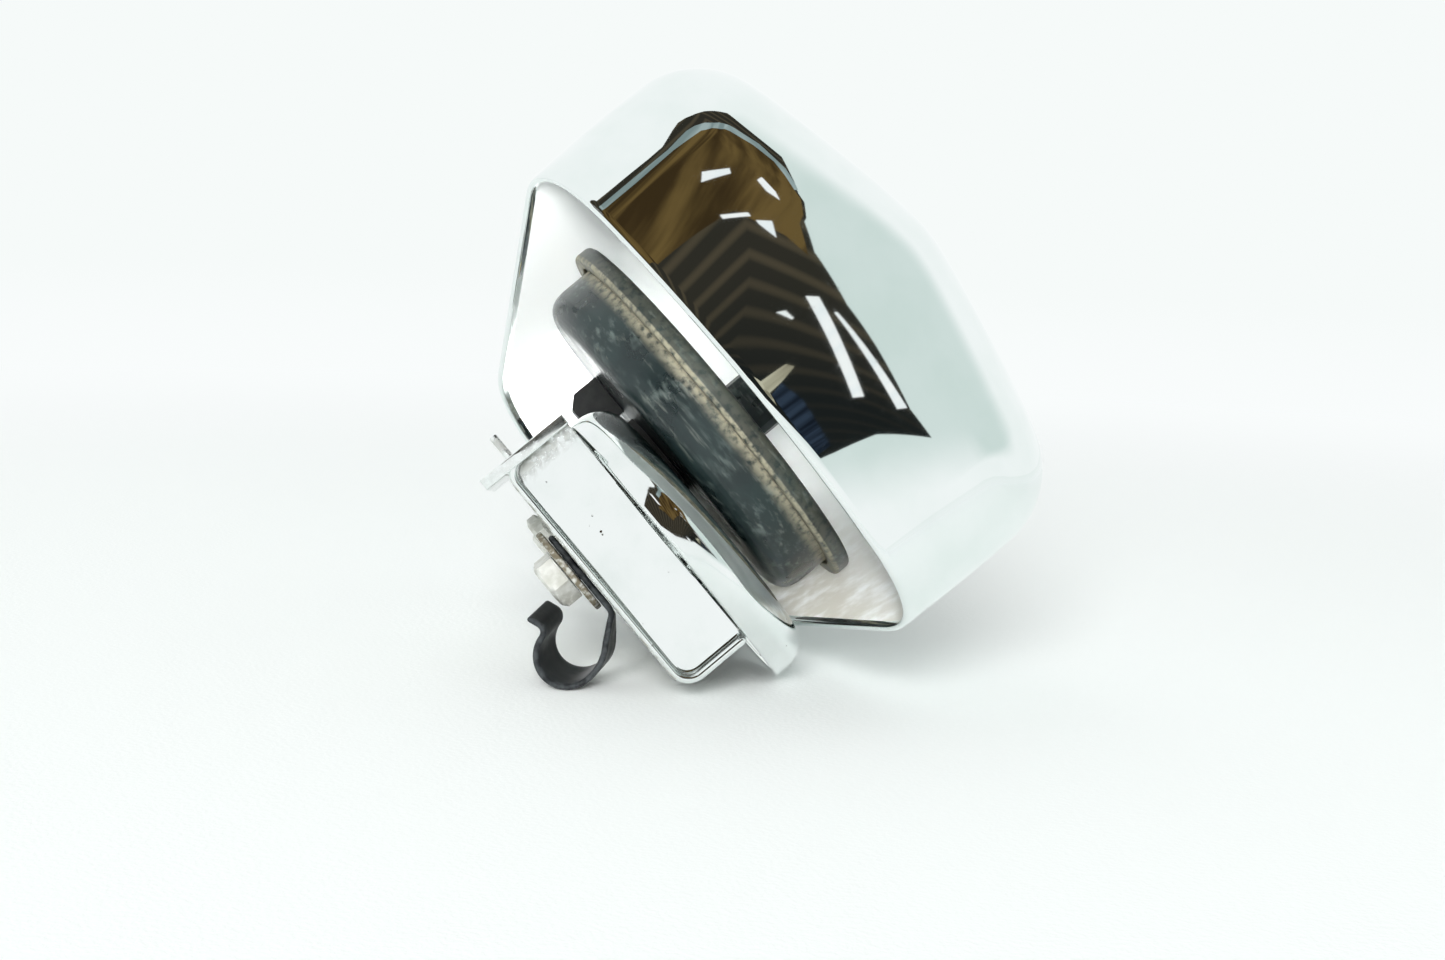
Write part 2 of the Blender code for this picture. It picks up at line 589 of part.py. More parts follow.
def build_breaker(plastic, brass, spring, parent):
    """Contact breaker: base, fixed contact, and the arm that turns on the base under the armature's edge."""
    length, width, height = BASE_SIZE
    low = HOUSING_FLOOR + GAP
    right = BREAKER_PIVOT_X + ARM_LEG
    base_top = low + height
    outline = box_outline(right - length, right, -width / 2, width / 2)
    prism("contact_base", outline, low, base_top, plastic, parent)
    arm_low = BOBBIN_TOP + ARM_ABOVE_BOBBIN
    strip_low = base_top + GAP
    strip_top = strip_low + CONTACT_SHEET
    left = right - length
    outline = box_outline(left, left + CONTACT_REACH, -CONTACT_WIDTH / 2, CONTACT_WIDTH / 2)
    strip = prism("fixed_contact", outline, strip_low, strip_top, brass, parent)
    point_x = left + CONTACT_REACH / 2
    point_low = (strip_low + strip_top) / 2
    point_top = arm_low - CONTACT_AIR
    point = rod("contact_point", CONTACT_POINT_RADIUS, point_low, point_top, parent, (point_x, 0.0))
    combine(strip, "UNION", point)
    hinge = empty("breaker_hinge", parent)
    hinge.location = (BREAKER_PIVOT_X, 0.0, strip_low)
    section = [
        (ARM_TIP_X, arm_low), (right - 2 * ARM_LEG, arm_low), (right - 2 * ARM_LEG, strip_low),
        (right - ARM_LEG, strip_low), (right - ARM_LEG, arm_low + ARM_SHEET), (ARM_TIP_X, arm_low + ARM_SHEET),
    ]
    bm = prism_bm([(x - BREAKER_PIVOT_X, z - strip_low) for x, z in section], -ARM_WIDTH / 2, ARM_WIDTH / 2)
    bmesh.ops.rotate(bm, verts=bm.verts, cent=(0, 0, 0), matrix=Matrix.Rotation(math.radians(90), 3, "X"))
    piece("breaker_arm", bm, spring, hinge)


def build_back_fittings(plastic, brass, zinc, parent):
    """Terminal block with two blades, and the tone screw with its lock nut."""
    x0, y0 = BLOCK_CORNER
    length, width, height = BLOCK_SIZE
    low = HOUSING_BACK - GAP - height
    high = HOUSING_BACK - GAP
    section = [
        (x0 + BLOCK_CHAMFER, low), (x0 + length, low), (x0 + length, high), (x0, high),
        (x0, low + BLOCK_CHAMFER),
    ]
    bm = prism_bm(section, -(y0 + width), -y0)
    bmesh.ops.rotate(bm, verts=bm.verts, cent=(0, 0, 0), matrix=Matrix.Rotation(math.radians(90), 3, "X"))
    piece("terminal_block", bm, plastic, parent)
    blade_y = y0 + width + GAP
    middle_x = x0 + length / 2
    middle_z = (low + high) / 2
    for name, side in (("terminal_blade_a", -1), ("terminal_blade_b", 1)):
        x = middle_x + side * BLADE_SPACING / 2
        outline = box_outline(x - BLADE_SHEET / 2, x + BLADE_SHEET / 2, blade_y, blade_y + BLADE_LENGTH)
        prism(name, outline, middle_z - BLADE_WIDTH / 2, middle_z + BLADE_WIDTH / 2, brass, parent)
    end = HOUSING_BACK - TONE_OUTSIDE
    screw = rod("tone_screw", TONE_RADIUS, end, HOUSING_FLOOR + TONE_INSIDE, parent, TONE_PLACE, surface=zinc)
    half = TONE_SLOT_WIDTH / 2
    outline = box_outline(-2 * TONE_RADIUS, 2 * TONE_RADIUS, -half, half)
    bottom = end + TONE_SLOT_DEPTH
    slot = prism("screw_slot", outline, end - TONE_SLOT_DEPTH, bottom, None, parent, TONE_PLACE)
    combine(screw, "DIFFERENCE", slot)
    nut_high = HOUSING_BACK - GAP
    bore = TONE_RADIUS + SEAT
    nut_low = nut_high - TONE_NUT_HEIGHT
    hex_nut("tone_lock_nut", TONE_NUT_FLATS, bore, nut_low, nut_high, zinc, parent, TONE_PLACE)


def build_bracket(chrome, parent):
    """Round dish and the channel behind it."""
    turns = [math.radians(a) for a in (90, 60, 30, 0)]
    centre_r = DISH_RADIUS - DISH_ROUND
    centre_z = DISH_FRONT - DISH_ROUND
    inner = DISH_ROUND - DISH_SHEET
    outside = [(centre_r + DISH_ROUND * math.cos(a), centre_z + DISH_ROUND * math.sin(a)) for a in turns]
    inside = [(centre_r + inner * math.cos(a), centre_z + inner * math.sin(a)) for a in turns[::-1]]
    rim = [(DISH_RADIUS, DISH_BACK), (DISH_RADIUS - DISH_SHEET, DISH_BACK)]
    profile = [(0.0, DISH_FRONT)] + outside + rim + inside + [(0.0, DISH_FLOOR)]
    dish = turned("bracket_dish", profile, chrome, parent, DISH_CENTRE, steps=ROUND_LARGE)
    stud_hole = STUD_RADIUS + BOLT_PLAY
    combine(dish, "DIFFERENCE", rod("dish_hole", stud_hole, DISH_FLOOR - GAP, DISH_FRONT + GAP, parent))

    bend = [math.radians(90 * k / (BEND_POINTS - 1)) for k in range(BEND_POINTS)]
    inner = CHANNEL_BEND - CHANNEL_SHEET
    bend_z = PLATE_BACK + CHANNEL_BEND

    def right_bend(radius):
        x = CHANNEL_RIGHT - CHANNEL_BEND
        return [(x + radius * math.sin(a), bend_z - radius * math.cos(a)) for a in bend]

    def left_bend(radius):
        x = CHANNEL_LEFT + CHANNEL_BEND
        return [(x - radius * math.cos(a), bend_z - radius * math.sin(a)) for a in bend]

    section = [(CHANNEL_LEFT, CHANNEL_FRONT)] + left_bend(CHANNEL_BEND) + right_bend(CHANNEL_BEND)
    section += [(CHANNEL_RIGHT, CHANNEL_FRONT), (CHANNEL_RIGHT - CHANNEL_SHEET, CHANNEL_FRONT)]
    section += right_bend(inner)[::-1] + left_bend(inner)[::-1]
    section += [(CHANNEL_LEFT + CHANNEL_SHEET, CHANNEL_FRONT)]
    bm = prism_bm(section, -CHANNEL_FAR, -CHANNEL_NEAR)
    bmesh.ops.rotate(bm, verts=bm.verts, cent=(0, 0, 0), matrix=Matrix.Rotation(math.radians(90), 3, "X"))
    channel = piece("bracket_channel", bm, chrome, parent)
    low = PLATE_BACK - GAP
    high = PLATE_FRONT + GAP
    past_right = CHANNEL_RIGHT + GAP
    past_far = CHANNEL_FAR + GAP
    taper = [(past_right, TAPER_START_Y), (past_right, past_far), (TAPER_END_X, past_far)]
    combine(
        channel, "DIFFERENCE",
        rod("plate_stud_hole", stud_hole, low, high, parent),
        rod("plate_clip_hole", CLIP_BOLT_RADIUS + BOLT_PLAY, low, high, parent, CLIP_PLACE),
        prism("channel_taper", taper, low, CHANNEL_FRONT + GAP, None, parent),
    )


def build_web(chrome, parent):
    """The plate that closes the channel's near end, set back, with corners cut to clear the bends."""
    left = CHANNEL_LEFT + CHANNEL_SHEET + GAP
    right = CHANNEL_RIGHT - CHANNEL_SHEET - GAP
    low = PLATE_FRONT + GAP
    cut = CHANNEL_BEND - CHANNEL_SHEET
    section = [
        (left + cut, low), (right - cut, low), (right, low + cut), (right, CHANNEL_FRONT),
        (left, CHANNEL_FRONT), (left, low + cut),
    ]
    near = CHANNEL_NEAR + WEB_RECESS
    bm = prism_bm(section, -(near + CHANNEL_SHEET), -near)
    bmesh.ops.rotate(bm, verts=bm.verts, cent=(0, 0, 0), matrix=Matrix.Rotation(math.radians(90), 3, "X"))
    piece("bracket_web", bm, chrome, parent)


def build_ear(chrome, parent):
    """The mounting ear: a flat plate on the channel's floor that reaches out, with one raised edge."""
    low = PLATE_FRONT + GAP
    high = low + CHANNEL_SHEET
    radius = EAR_WIDTH / 2
    ear_x = EAR_LEFT + radius
    ear_y = EAR_REACH - radius
    arc = [math.pi * k / EAR_POINTS for k in range(EAR_POINTS + 1)]
    root_left = CHANNEL_LEFT + CHANNEL_BEND + GAP
    neck = CHANNEL_FAR + BOLT_PLAY
    root_y = CHANNEL_FAR - EAR_ROOT
    root = [(root_left, neck), (root_left, root_y), (EAR_LEFT + EAR_WIDTH, root_y)]
    end = [(ear_x + radius * math.cos(a), ear_y + radius * math.sin(a)) for a in arc]
    ear = prism("bracket_ear", root + end + [(EAR_LEFT, neck)], low, high, chrome, parent)
    lip_left = EAR_LEFT + SEAT
    outline = box_outline(lip_left, lip_left + CHANNEL_SHEET, neck + BOLT_PLAY, ear_y)
    lip = prism("ear_lip", outline, (low + high) / 2, high + EAR_LIP, None, parent)
    combine(ear, "UNION", lip)
    hole = rod("ear_hole", EAR_HOLE_RADIUS, low - GAP, high + GAP, parent, (ear_x, ear_y))
    combine(ear, "DIFFERENCE", hole)


def build_stud(zinc, rubber, parent):
    """Rear stud, rubber washer, spacer tube and nut."""
    end = STUD_NUT_LOW - STUD_PAST_NUT
    rod("rear_stud", STUD_RADIUS, end, POLE_TOP - POLE_ROOF - GAP, parent, surface=zinc)
    bore = STUD_RADIUS + BOLT_PLAY
    rubber_ring = washer_profile(bore, RUBBER_RADIUS, RUBBER_LOW, RUBBER_TOP)
    turned("stud_rubber", rubber_ring, rubber, parent, steps=ROUND_MIDDLE)
    tube = washer_profile(bore, bore + TUBE_WALL, PLATE_FRONT + GAP, DISH_FLOOR - GAP)
    turned("spacer_tube", tube, zinc, parent, steps=ROUND_SMALL)
    hex_nut("stud_nut", STUD_NUT_FLATS, STUD_RADIUS + SEAT, STUD_NUT_LOW, STUD_NUT_TOP, zinc, parent)


def clip_path():
    """Middle line of the clip's strip in its own x, z plane, as points, headings and shares of the twist.

    The line runs straight under the bolt, bends away from the plate, goes round the loop and ends at the tip.
    """
    place = np.array([-CLIP_TAB_BEHIND, CLIP_TOP - CLIP_SHEET / 2])
    heading = 0.0
    points = [(*place, heading, 0.0)]
    radii = (CLIP_BEND_RADIUS, CLIP_KNEE_RADIUS, CLIP_LOOP_RADIUS, CLIP_NECK_RADIUS)
    runs = (CLIP_TAB_BEHIND + CLIP_TAB_AHEAD, CLIP_LEG, 0.0, 0.0)
    for stage, (run, radius, degrees) in enumerate(zip(runs, radii, CLIP_TURNS)):
        if run > 0.0:
            place = place + run * np.array([math.cos(heading), math.sin(heading)])
            points.append((*place, heading, min(stage, 1) * 0.5))
        sign = math.copysign(1.0, degrees)
        steps = max(2, round(math.radians(abs(degrees)) / CLIP_STEP))
        for k in range(steps):
            middle = heading - sign * math.radians(abs(degrees)) / steps / 2
            chord = 2 * radius * math.sin(math.radians(abs(degrees)) / steps / 2)
            place = place + chord * np.array([math.cos(middle), math.sin(middle)])
            heading -= sign * math.radians(abs(degrees)) / steps
            twisted = 0.0 if stage == 0 else min(1.0, 0.5 * stage + 0.5 * (k + 1) / steps)
            points.append((*place, heading, twisted))
    place = place + CLIP_TIP * np.array([math.cos(heading), math.sin(heading)])
    points.append((*place, heading, 1.0))
    return points


def build_clip(steel, zinc, parent):
    """The J-shaped cable clip on its bolt, with washer and nut. The clip turns about the bolt."""
    pivot = empty("clip_pivot", parent)
    pivot.location = (*CLIP_PLACE, 0.0)
    bm = bmesh.new()
    loops = []
    for x, z, heading, share in clip_path():
        twist = CLIP_TWIST * share
        middle = np.array([x, 0.0, z])
        across = np.array([0.0, math.cos(twist), math.sin(twist)]) * CLIP_WIDTH / 2
        out = np.array([-math.sin(heading), 0.0, math.cos(heading)]) * CLIP_SHEET / 2
        corners = (middle - across + out, middle + across + out, middle + across - out, middle - across - out)
        loops.append([bm.verts.new(corner) for corner in corners])
    for low, high in zip(loops, loops[1:]):
        join_loops(bm, low, high)
    bm.faces.new(loops[0])
    bm.faces.new(loops[-1])
    clip = piece("cable_clip", bm, steel, pivot)
    hole = rod("clip_hole", CLIP_BOLT_RADIUS + BOLT_PLAY, CLIP_LOW - GAP, CLIP_TOP + GAP, pivot)
    combine(clip, "DIFFERENCE", hole)

    shank_end = CLIP_NUT_TOP + CLIP_BOLT_PAST_NUT
    head_low = CLIP_HEAD_TOP - CLIP_HEAD_HEIGHT
    bolt = prism("clip_bolt", hexagon(CLIP_BOLT_FLATS), head_low, CLIP_HEAD_TOP, zinc, parent, CLIP_PLACE)
    shank_low = head_low + CLIP_HEAD_HEIGHT / 2
    shank = rod("clip_bolt_shank", CLIP_BOLT_RADIUS, shank_low, shank_end, parent, CLIP_PLACE)
    combine(bolt, "UNION", shank)
    bore = CLIP_BOLT_RADIUS + BOLT_PLAY
    disc = washer_profile(bore, CLIP_WASHER_RADIUS, CLIP_WASHER_LOW, CLIP_WASHER_TOP)
    turned("clip_washer", disc, zinc, parent, CLIP_PLACE, steps=ROUND_MIDDLE)
    thread = CLIP_BOLT_RADIUS + SEAT
    hex_nut("clip_nut", CLIP_NUT_FLATS, thread, CLIP_NUT_LOW, CLIP_NUT_TOP, zinc, parent, CLIP_PLACE)


def lay_down(pose):
    """Moves the lying pose so that the middle of the bounding box's floor is the world's origin."""
    bpy.context.view_layer.update()
    graph = bpy.context.evaluated_depsgraph_get()
    lowest = np.full(3, np.inf)
    highest = -lowest
    for made in bpy.data.objects:
        if made.type != "MESH" or made.hide_render:
            continue
        seen = made.evaluated_get(graph)
        flat = np.empty(len(seen.data.vertices) * 3)
        seen.data.vertices.foreach_get("co", flat)
        turn = np.array(made.matrix_world)
        world = flat.reshape(-1, 3) @ turn[:3, :3].T + turn[:3, 3]
        lowest = np.minimum(lowest, world.min(axis=0))
        highest = np.maximum(highest, world.max(axis=0))
    middle = (lowest + highest) / 2
    pose.location = (-middle[0], -middle[1], -lowest[2])
    bpy.context.view_layer.update()


def main():
    """Builds every piece of the horn and lays the assembly down."""
    for old in list(bpy.data.objects):
        bpy.data.objects.remove(old)
    chrome = finish("chrome", (0.80, 0.81, 0.82), 0.06, 1.0)
    paint = finish("horn_paint", (0.030, 0.036, 0.036), 0.55, 0.0)
    zinc = finish("zinc", (0.42, 0.42, 0.38), 0.45, 1.0)
    spring = finish("spring_steel", (0.35, 0.36, 0.37), 0.35, 1.0)
    black_steel = finish("black_steel", (0.020, 0.021, 0.023), 0.35, 0.6)
    iron = finish("soft_iron", (0.30, 0.30, 0.31), 0.45, 1.0)
    copper = finish("copper_wire", (0.55, 0.25, 0.12), 0.35, 1.0)
    brass = finish("brass", (0.62, 0.48, 0.20), 0.35, 1.0)
    plastic = finish("black_plastic", (0.020, 0.020, 0.020), 0.45, 0.0)
    board = finish("gasket_board", (0.10, 0.08, 0.06), 0.8, 0.0)
    rubber = finish("rubber", (0.015, 0.015, 0.015), 0.8, 0.0)

    pose = empty("lying_pose")
    pose.rotation_euler = [math.radians(angle) for angle in LYING_TURN]
    cover_axis = empty("cover_axis", pose)
    cover_axis.location = COVER_RIM_CENTRE
    cover_axis.rotation_euler.x = COVER_TILT
    armature_axis = empty("armature_axis", pose)

    build_cover(chrome, cover_axis)
    build_cover_post(paint, pose)
    build_horn_case(paint, board, pose)
    build_magnet(iron, copper, plastic, pose)
    build_armature(iron, spring, zinc, armature_axis)
    build_breaker(plastic, brass, spring, pose)
    build_back_fittings(plastic, brass, zinc, pose)
    build_bracket(chrome, pose)
    build_web(chrome, pose)
    build_ear(chrome, pose)
    build_stud(zinc, rubber, pose)
    build_clip(black_steel, zinc, pose)
    lay_down(pose)


main()
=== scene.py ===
"""Looks of an electric disc horn in a chromed bell-shaped cover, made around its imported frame.

New pieces are numpy surfaces in millimetres. Most are worked out in the horn's own frame: its origin is the
middle of the flange, Z runs along the horn's axis towards the cover's front, X across the cover, and Y to the
cover's narrow end.
"""
import math

import bmesh
import bpy
import numpy as np
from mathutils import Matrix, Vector


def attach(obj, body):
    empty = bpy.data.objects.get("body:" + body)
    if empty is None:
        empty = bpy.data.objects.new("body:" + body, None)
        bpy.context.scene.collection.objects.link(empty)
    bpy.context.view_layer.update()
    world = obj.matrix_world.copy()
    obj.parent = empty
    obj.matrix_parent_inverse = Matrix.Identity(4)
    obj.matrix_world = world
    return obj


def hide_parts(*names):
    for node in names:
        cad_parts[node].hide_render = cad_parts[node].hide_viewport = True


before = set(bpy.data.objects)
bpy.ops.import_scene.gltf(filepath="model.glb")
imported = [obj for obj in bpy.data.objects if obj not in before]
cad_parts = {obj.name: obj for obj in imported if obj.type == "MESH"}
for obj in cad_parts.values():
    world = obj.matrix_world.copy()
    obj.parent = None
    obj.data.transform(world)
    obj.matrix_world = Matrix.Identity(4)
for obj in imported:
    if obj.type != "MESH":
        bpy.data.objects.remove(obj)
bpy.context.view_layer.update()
MM = 0.001

# Where the horn's frame lies in the world, and the cover's frame in the horn's
LYING_TURN = (-11.91, 48.04, -5.05)
LYING_SHIFT = np.array([-5.6858, -4.3212, 55.8589])
COVER_TILT = (-16.66, 0.0, 0.0)
COVER_SHIFT = np.array([-0.8, -2.2, -18.5])

# Bell-shaped cover, millimetres
COVER_LENGTH = 138.0
COVER_WIDE = 122.8
COVER_NARROW = 70.0
COVER_WIDE_BOW = 9.0
COVER_NARROW_BOW = 3.0
COVER_WIDE_CORNER = 20.0
COVER_NARROW_CORNER = 17.5
COVER_DEPTH = 61.0
COVER_SLOPE = math.radians(10.7)
COVER_RIDGE_SOFT = 5.0
COVER_CROWN = 4.0
COVER_ROUND_SIDE = 17.0
COVER_ROUND_WIDE = 21.0
COVER_SWELL = 1.6
COVER_SHEET = 1.6
COVER_RIM_ROWS = (0.0, 0.055, 0.06)
COVER_COLUMNS = 420

# Darker patches on the low side of the cover's inside: height where they start, and over which they grow,
# metres
LOW_DARK_TOP = 0.028
LOW_DARK_FADE = 0.012

# Horn, bracket and clip, millimetres
FLANGE_RADIUS = 45.1
RING_FRONT = -0.1
RING_LOW = -4.4
RING_INNER = 41.9
RING_HOLLOW = 43.7
RING_SHEET = 0.8
CAP_TOP = 2.7
CAP_RIM = -0.3
CAP_FLAT = 12.0
CAP_FOOT = 24.0
CAP_RADIUS = 43.4
CAP_SHEET = 0.7
CAP_INSET = 0.3
SHEET_RADIUS = 43.6
HOUSING_TOP = -2.35
HOUSING_BACK = -16.55
FLANGE_LOW = -3.15
DRUM_RADIUS = 41.0
DRUM_SHEET = 1.5
STUD_HOLE = 4.3
DISH_CENTRE = (17.5, -16.0)
DISH_RADIUS = 34.5
DISH_ROUND = 7.0
DISH_SHEET = 1.6
DISH_LIP = 0.75
DISH_FRONT = -19.05
DISH_BACK = -29.05
CHANNEL_LEFT = -19.0
CHANNEL_RIGHT = 40.0
CHANNEL_NEAR = -42.0
CHANNEL_FAR = 14.0
CHANNEL_FRONT = -29.3
PLATE_BACK = -45.9
CHANNEL_SHEET = 1.8
CHANNEL_BEND = 5.0
TAPER_START_Y = -24.0
TAPER_END_X = 28.0
WEB_NEAR = -38.5
CLIP_PLACE = (6.2, -28.0)
CLIP_TOP = -46.15
CLIP_SHEET = 1.3
CLIP_WIDTH = 12.0
CLIP_TWIST = math.radians(24.5)
CLIP_START = -8.0
CLIP_TIP = 2.6
BOLT_FLATS = 10.4
BOLT_TURN = math.radians(-18.0)
WASHER_BORE = 3.3
WASHER_RADIUS = 10.0
WASHER_LOW = -49.0
WASHER_HIGH = -47.7

# The clip's path in stages: straight run, bend radius, degrees turned, share of the twist at start and end
CLIP_STAGES = (
    (19.0, 3.0, 45.0, 0.0, 0.0),
    (5.7, 8.0, 45.0, 0.5, 1.0),
    (0.0, 6.4, 165.0, 1.0, 1.0),
    (0.0, 1.9, -95.0, 1.0, 1.0),
)

# Rows of a plate's face, as shares of the way out: close together near the edge, so that the face stays flat
FACE_SHARES = (0.0, 0.6, 0.85, 0.93, 0.98, 1.0)


def turn_matrix(degrees):
    """Rotation about X, then Y, then Z, by angles in degrees."""
    a, b, c = np.radians(degrees)
    about_x = np.array([[1, 0, 0], [0, math.cos(a), -math.sin(a)], [0, math.sin(a), math.cos(a)]])
    about_y = np.array([[math.cos(b), 0, math.sin(b)], [0, 1, 0], [-math.sin(b), 0, math.cos(b)]])
    about_z = np.array([[math.cos(c), -math.sin(c), 0], [math.sin(c), math.cos(c), 0], [0, 0, 1]])
    return about_z @ about_y @ about_x


def from_horn(points):
    """Points in the horn's frame, millimetres, to the world, metres."""
    return (np.asarray(points) @ turn_matrix(LYING_TURN).T + LYING_SHIFT) * MM


def from_cover(points):
    """Points in the cover's frame, millimetres, to the world, metres."""
    return from_horn(np.asarray(points) @ turn_matrix(COVER_TILT).T + COVER_SHIFT)


def skin(name, grid, finish, body="horn", stands_for=(), wrap=(False, False), sharp=40,
         marks=None):
    """One piece from a grid of world points, rows by columns: a quad between every four neighbours.

    wrap closes the grid along its rows or its columns. Points that meet, such as a pole's, become one. marks
    are named numbers per grid point that a material reads as attributes.
    """
    rows, columns = grid.shape[:2]
    index = np.arange(rows * columns).reshape(rows, columns)
    if wrap[0]:
        index = np.vstack([index, index[:1]])
    if wrap[1]:
        index = np.hstack([index, index[:, :1]])
    corners = (index[:-1, :-1], index[1:, :-1], index[1:, 1:], index[:-1, 1:])
    quads = np.stack(corners, axis=-1).reshape(-1, 4)
    mesh = bpy.data.meshes.new(name)
    mesh.from_pydata(grid.reshape(-1, 3).tolist(), [], quads.tolist())
    for label, values in (marks or {}).items():
        layer = mesh.attributes.new(label, "FLOAT", "POINT")
        layer.data.foreach_set("value", np.broadcast_to(values, (rows, columns)).ravel().astype(np.float32))
    bm = bmesh.new()
    bm.from_mesh(mesh)
    bmesh.ops.remove_doubles(bm, verts=bm.verts, dist=2e-7)
    bmesh.ops.recalc_face_normals(bm, faces=bm.faces)
    bm.to_mesh(mesh)
    bm.free()
    mesh.shade_smooth()
    mesh.set_sharp_from_angle(angle=math.radians(sharp))
    mesh.materials.append(finish)
    made = bpy.data.objects.new(name, mesh)
    bpy.context.scene.collection.objects.link(made)
    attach(made, body)
    if stands_for:
        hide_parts(*stands_for)
    return made


def bowed(start, middle, end, share):
    """Points on a quadratic curve from start to end that is drawn towards middle."""
    return (1 - share) ** 2 * start + 2 * share * (1 - share) * middle + share ** 2 * end


def rounded(corners, radii, steps=5):
    """A closed outline with its corners rounded: each corner becomes a quadratic curve between two points on
    its sides, as far from the corner as its radius, and never past the middle of a side."""
    corners = np.asarray(corners, float)
    before = np.roll(corners, 1, axis=0) - corners
    after = np.roll(corners, -1, axis=0) - corners
    far_before = np.linalg.norm(before, axis=1)
    far_after = np.linalg.norm(after, axis=1)
    reach = np.minimum(np.broadcast_to(radii, far_before.shape), 0.49 * np.minimum(far_before, far_after))
    start = corners + before * (reach / far_before)[:, None]
    end = corners + after * (reach / far_after)[:, None]
    share = np.linspace(0.0, 1.0, steps)[None, :, None]
    return bowed(start[:, None], corners[:, None], end[:, None], share).reshape(-1, 2)


def spun(outline, place=(0.0, 0.0), columns=144):
    """An outline of (radius, height) points turned round an axis along Z at a place: rows by columns."""
    angle = np.linspace(0.0, math.tau, columns, endpoint=False)
    radius = outline[:, 0][:, None]
    x = place[0] + radius * np.cos(angle)
    y = place[1] + radius * np.sin(angle)
    z = np.broadcast_to(outline[:, 1][:, None], x.shape)
    return np.stack([x, y, z], axis=-1)


def hex_bounded(outline, flats, place, turn=0.0, columns=144):
    """As spun, but no point lies outside a hexagon of this size across its flats, turned by this angle: the
    radius is the smaller of the outline's own and the hexagon's, which is half the flats over the cosine of
    the angle from the nearest flat."""
    angle = np.linspace(0.0, math.tau, columns, endpoint=False) + turn
    side = flats / 2 / np.cos((angle - turn) % (math.pi / 3) - math.pi / 6)
    radius = np.minimum(outline[:, 0][:, None], side[None, :])
    x = place[0] + radius * np.cos(angle)
    y = place[1] + radius * np.sin(angle)
    z = np.broadcast_to(outline[:, 1][:, None], x.shape)
    return np.stack([x, y, z], axis=-1)


def plated(grid, sheet):
    """A closed plate round an open grid: the grid moved half the sheet to both sides along its normals,
    joined by a half-round edge along its columns, and drawn together in a half-round at its first and last
    row."""
    turn = np.linspace(0.0, math.pi / 2, 5)

    def ends(rows):
        step = rows[1] - rows[0]
        unit = step / np.linalg.norm(step, axis=-1, keepdims=True)
        return rows[0][None] + unit[None] * (sheet / 2 * (1 - np.cos(turn)))[:-1, None, None]

    first = ends(grid)
    last = ends(grid[::-1])[::-1]
    inner = np.linalg.norm(grid - grid[:1], axis=-1).min(axis=1) > sheet / 2
    inner &= np.linalg.norm(grid - grid[-1:], axis=-1).min(axis=1) > sheet / 2
    rows = np.concatenate([first, grid[inner], last])
    thick = np.concatenate([np.sin(turn)[:-1], np.ones(inner.sum()), np.sin(turn)[:-1][::-1]]) * sheet / 2
    normal = np.cross(np.gradient(rows, axis=0), np.gradient(rows, axis=1))
    normal /= np.linalg.norm(normal, axis=-1, keepdims=True)
    thick = thick[:, None, None]
    left = rows[:, 0] - rows[:, 1]
    left /= np.linalg.norm(left, axis=-1, keepdims=True)
    right = rows[:, -1] - rows[:, -2]
    right /= np.linalg.norm(right, axis=-1, keepdims=True)
    rows = rows.copy()
    rows[:, 0] -= left * sheet / 2
    rows[:, -1] -= right * sheet / 2
    half = np.linspace(0.0, math.pi, 7)[1:-1][None, :, None]

    def edge(point, out, up):
        return point[:, None] + thick * (np.cos(half) * up[:, None] + np.sin(half) * out[:, None])

    right_edge = edge(rows[:, -1], right, normal[:, -1])
    left_edge = edge(rows[:, 0], left, -normal[:, 0])
    upper = rows + thick * normal
    lower = (rows - thick * normal)[:, ::-1]
    return np.concatenate([upper, right_edge, lower, left_edge], axis=1)


def slab(outline, low, high, soften, middle=None, hole=0.0):
    """A flat plate from a closed outline between two heights, its edges softened. Rows run from the lower
    middle, or from a round hole's wall, out to the edge and back over the upper face."""
    middle = np.mean(outline, axis=0) if middle is None else np.asarray(middle)
    away = outline - middle
    far = np.linalg.norm(away, axis=1, keepdims=True)
    unit = away / far
    core = middle + unit * hole
    shrunk = outline - unit * soften
    face = [core + (shrunk - core) * share for share in FACE_SHARES]
    round_edge = [outline - unit * soften * 0.3, outline, outline, outline - unit * soften * 0.3]
    flat = face + round_edge + face[::-1]
    edge = [low + soften * 0.3, low + soften, high - soften, high - soften * 0.3]
    height = [low] * len(face) + edge + [high] * len(face)
    return np.stack([np.column_stack([points, np.full(len(points), z)]) for points, z in zip(flat, height)])


def dense(outline, step):
    """A closed outline with points added along its long sides, one for every step walked."""
    loop = np.vstack([outline, outline[:1]])
    walked = np.concatenate([[0.0], np.cumsum(np.linalg.norm(np.diff(loop, axis=0), axis=1))])
    stops = np.union1d(walked[:-1], np.arange(0.0, walked[-1], step))
    return np.stack([np.interp(stops, walked, loop[:, k]) for k in range(2)], axis=1)


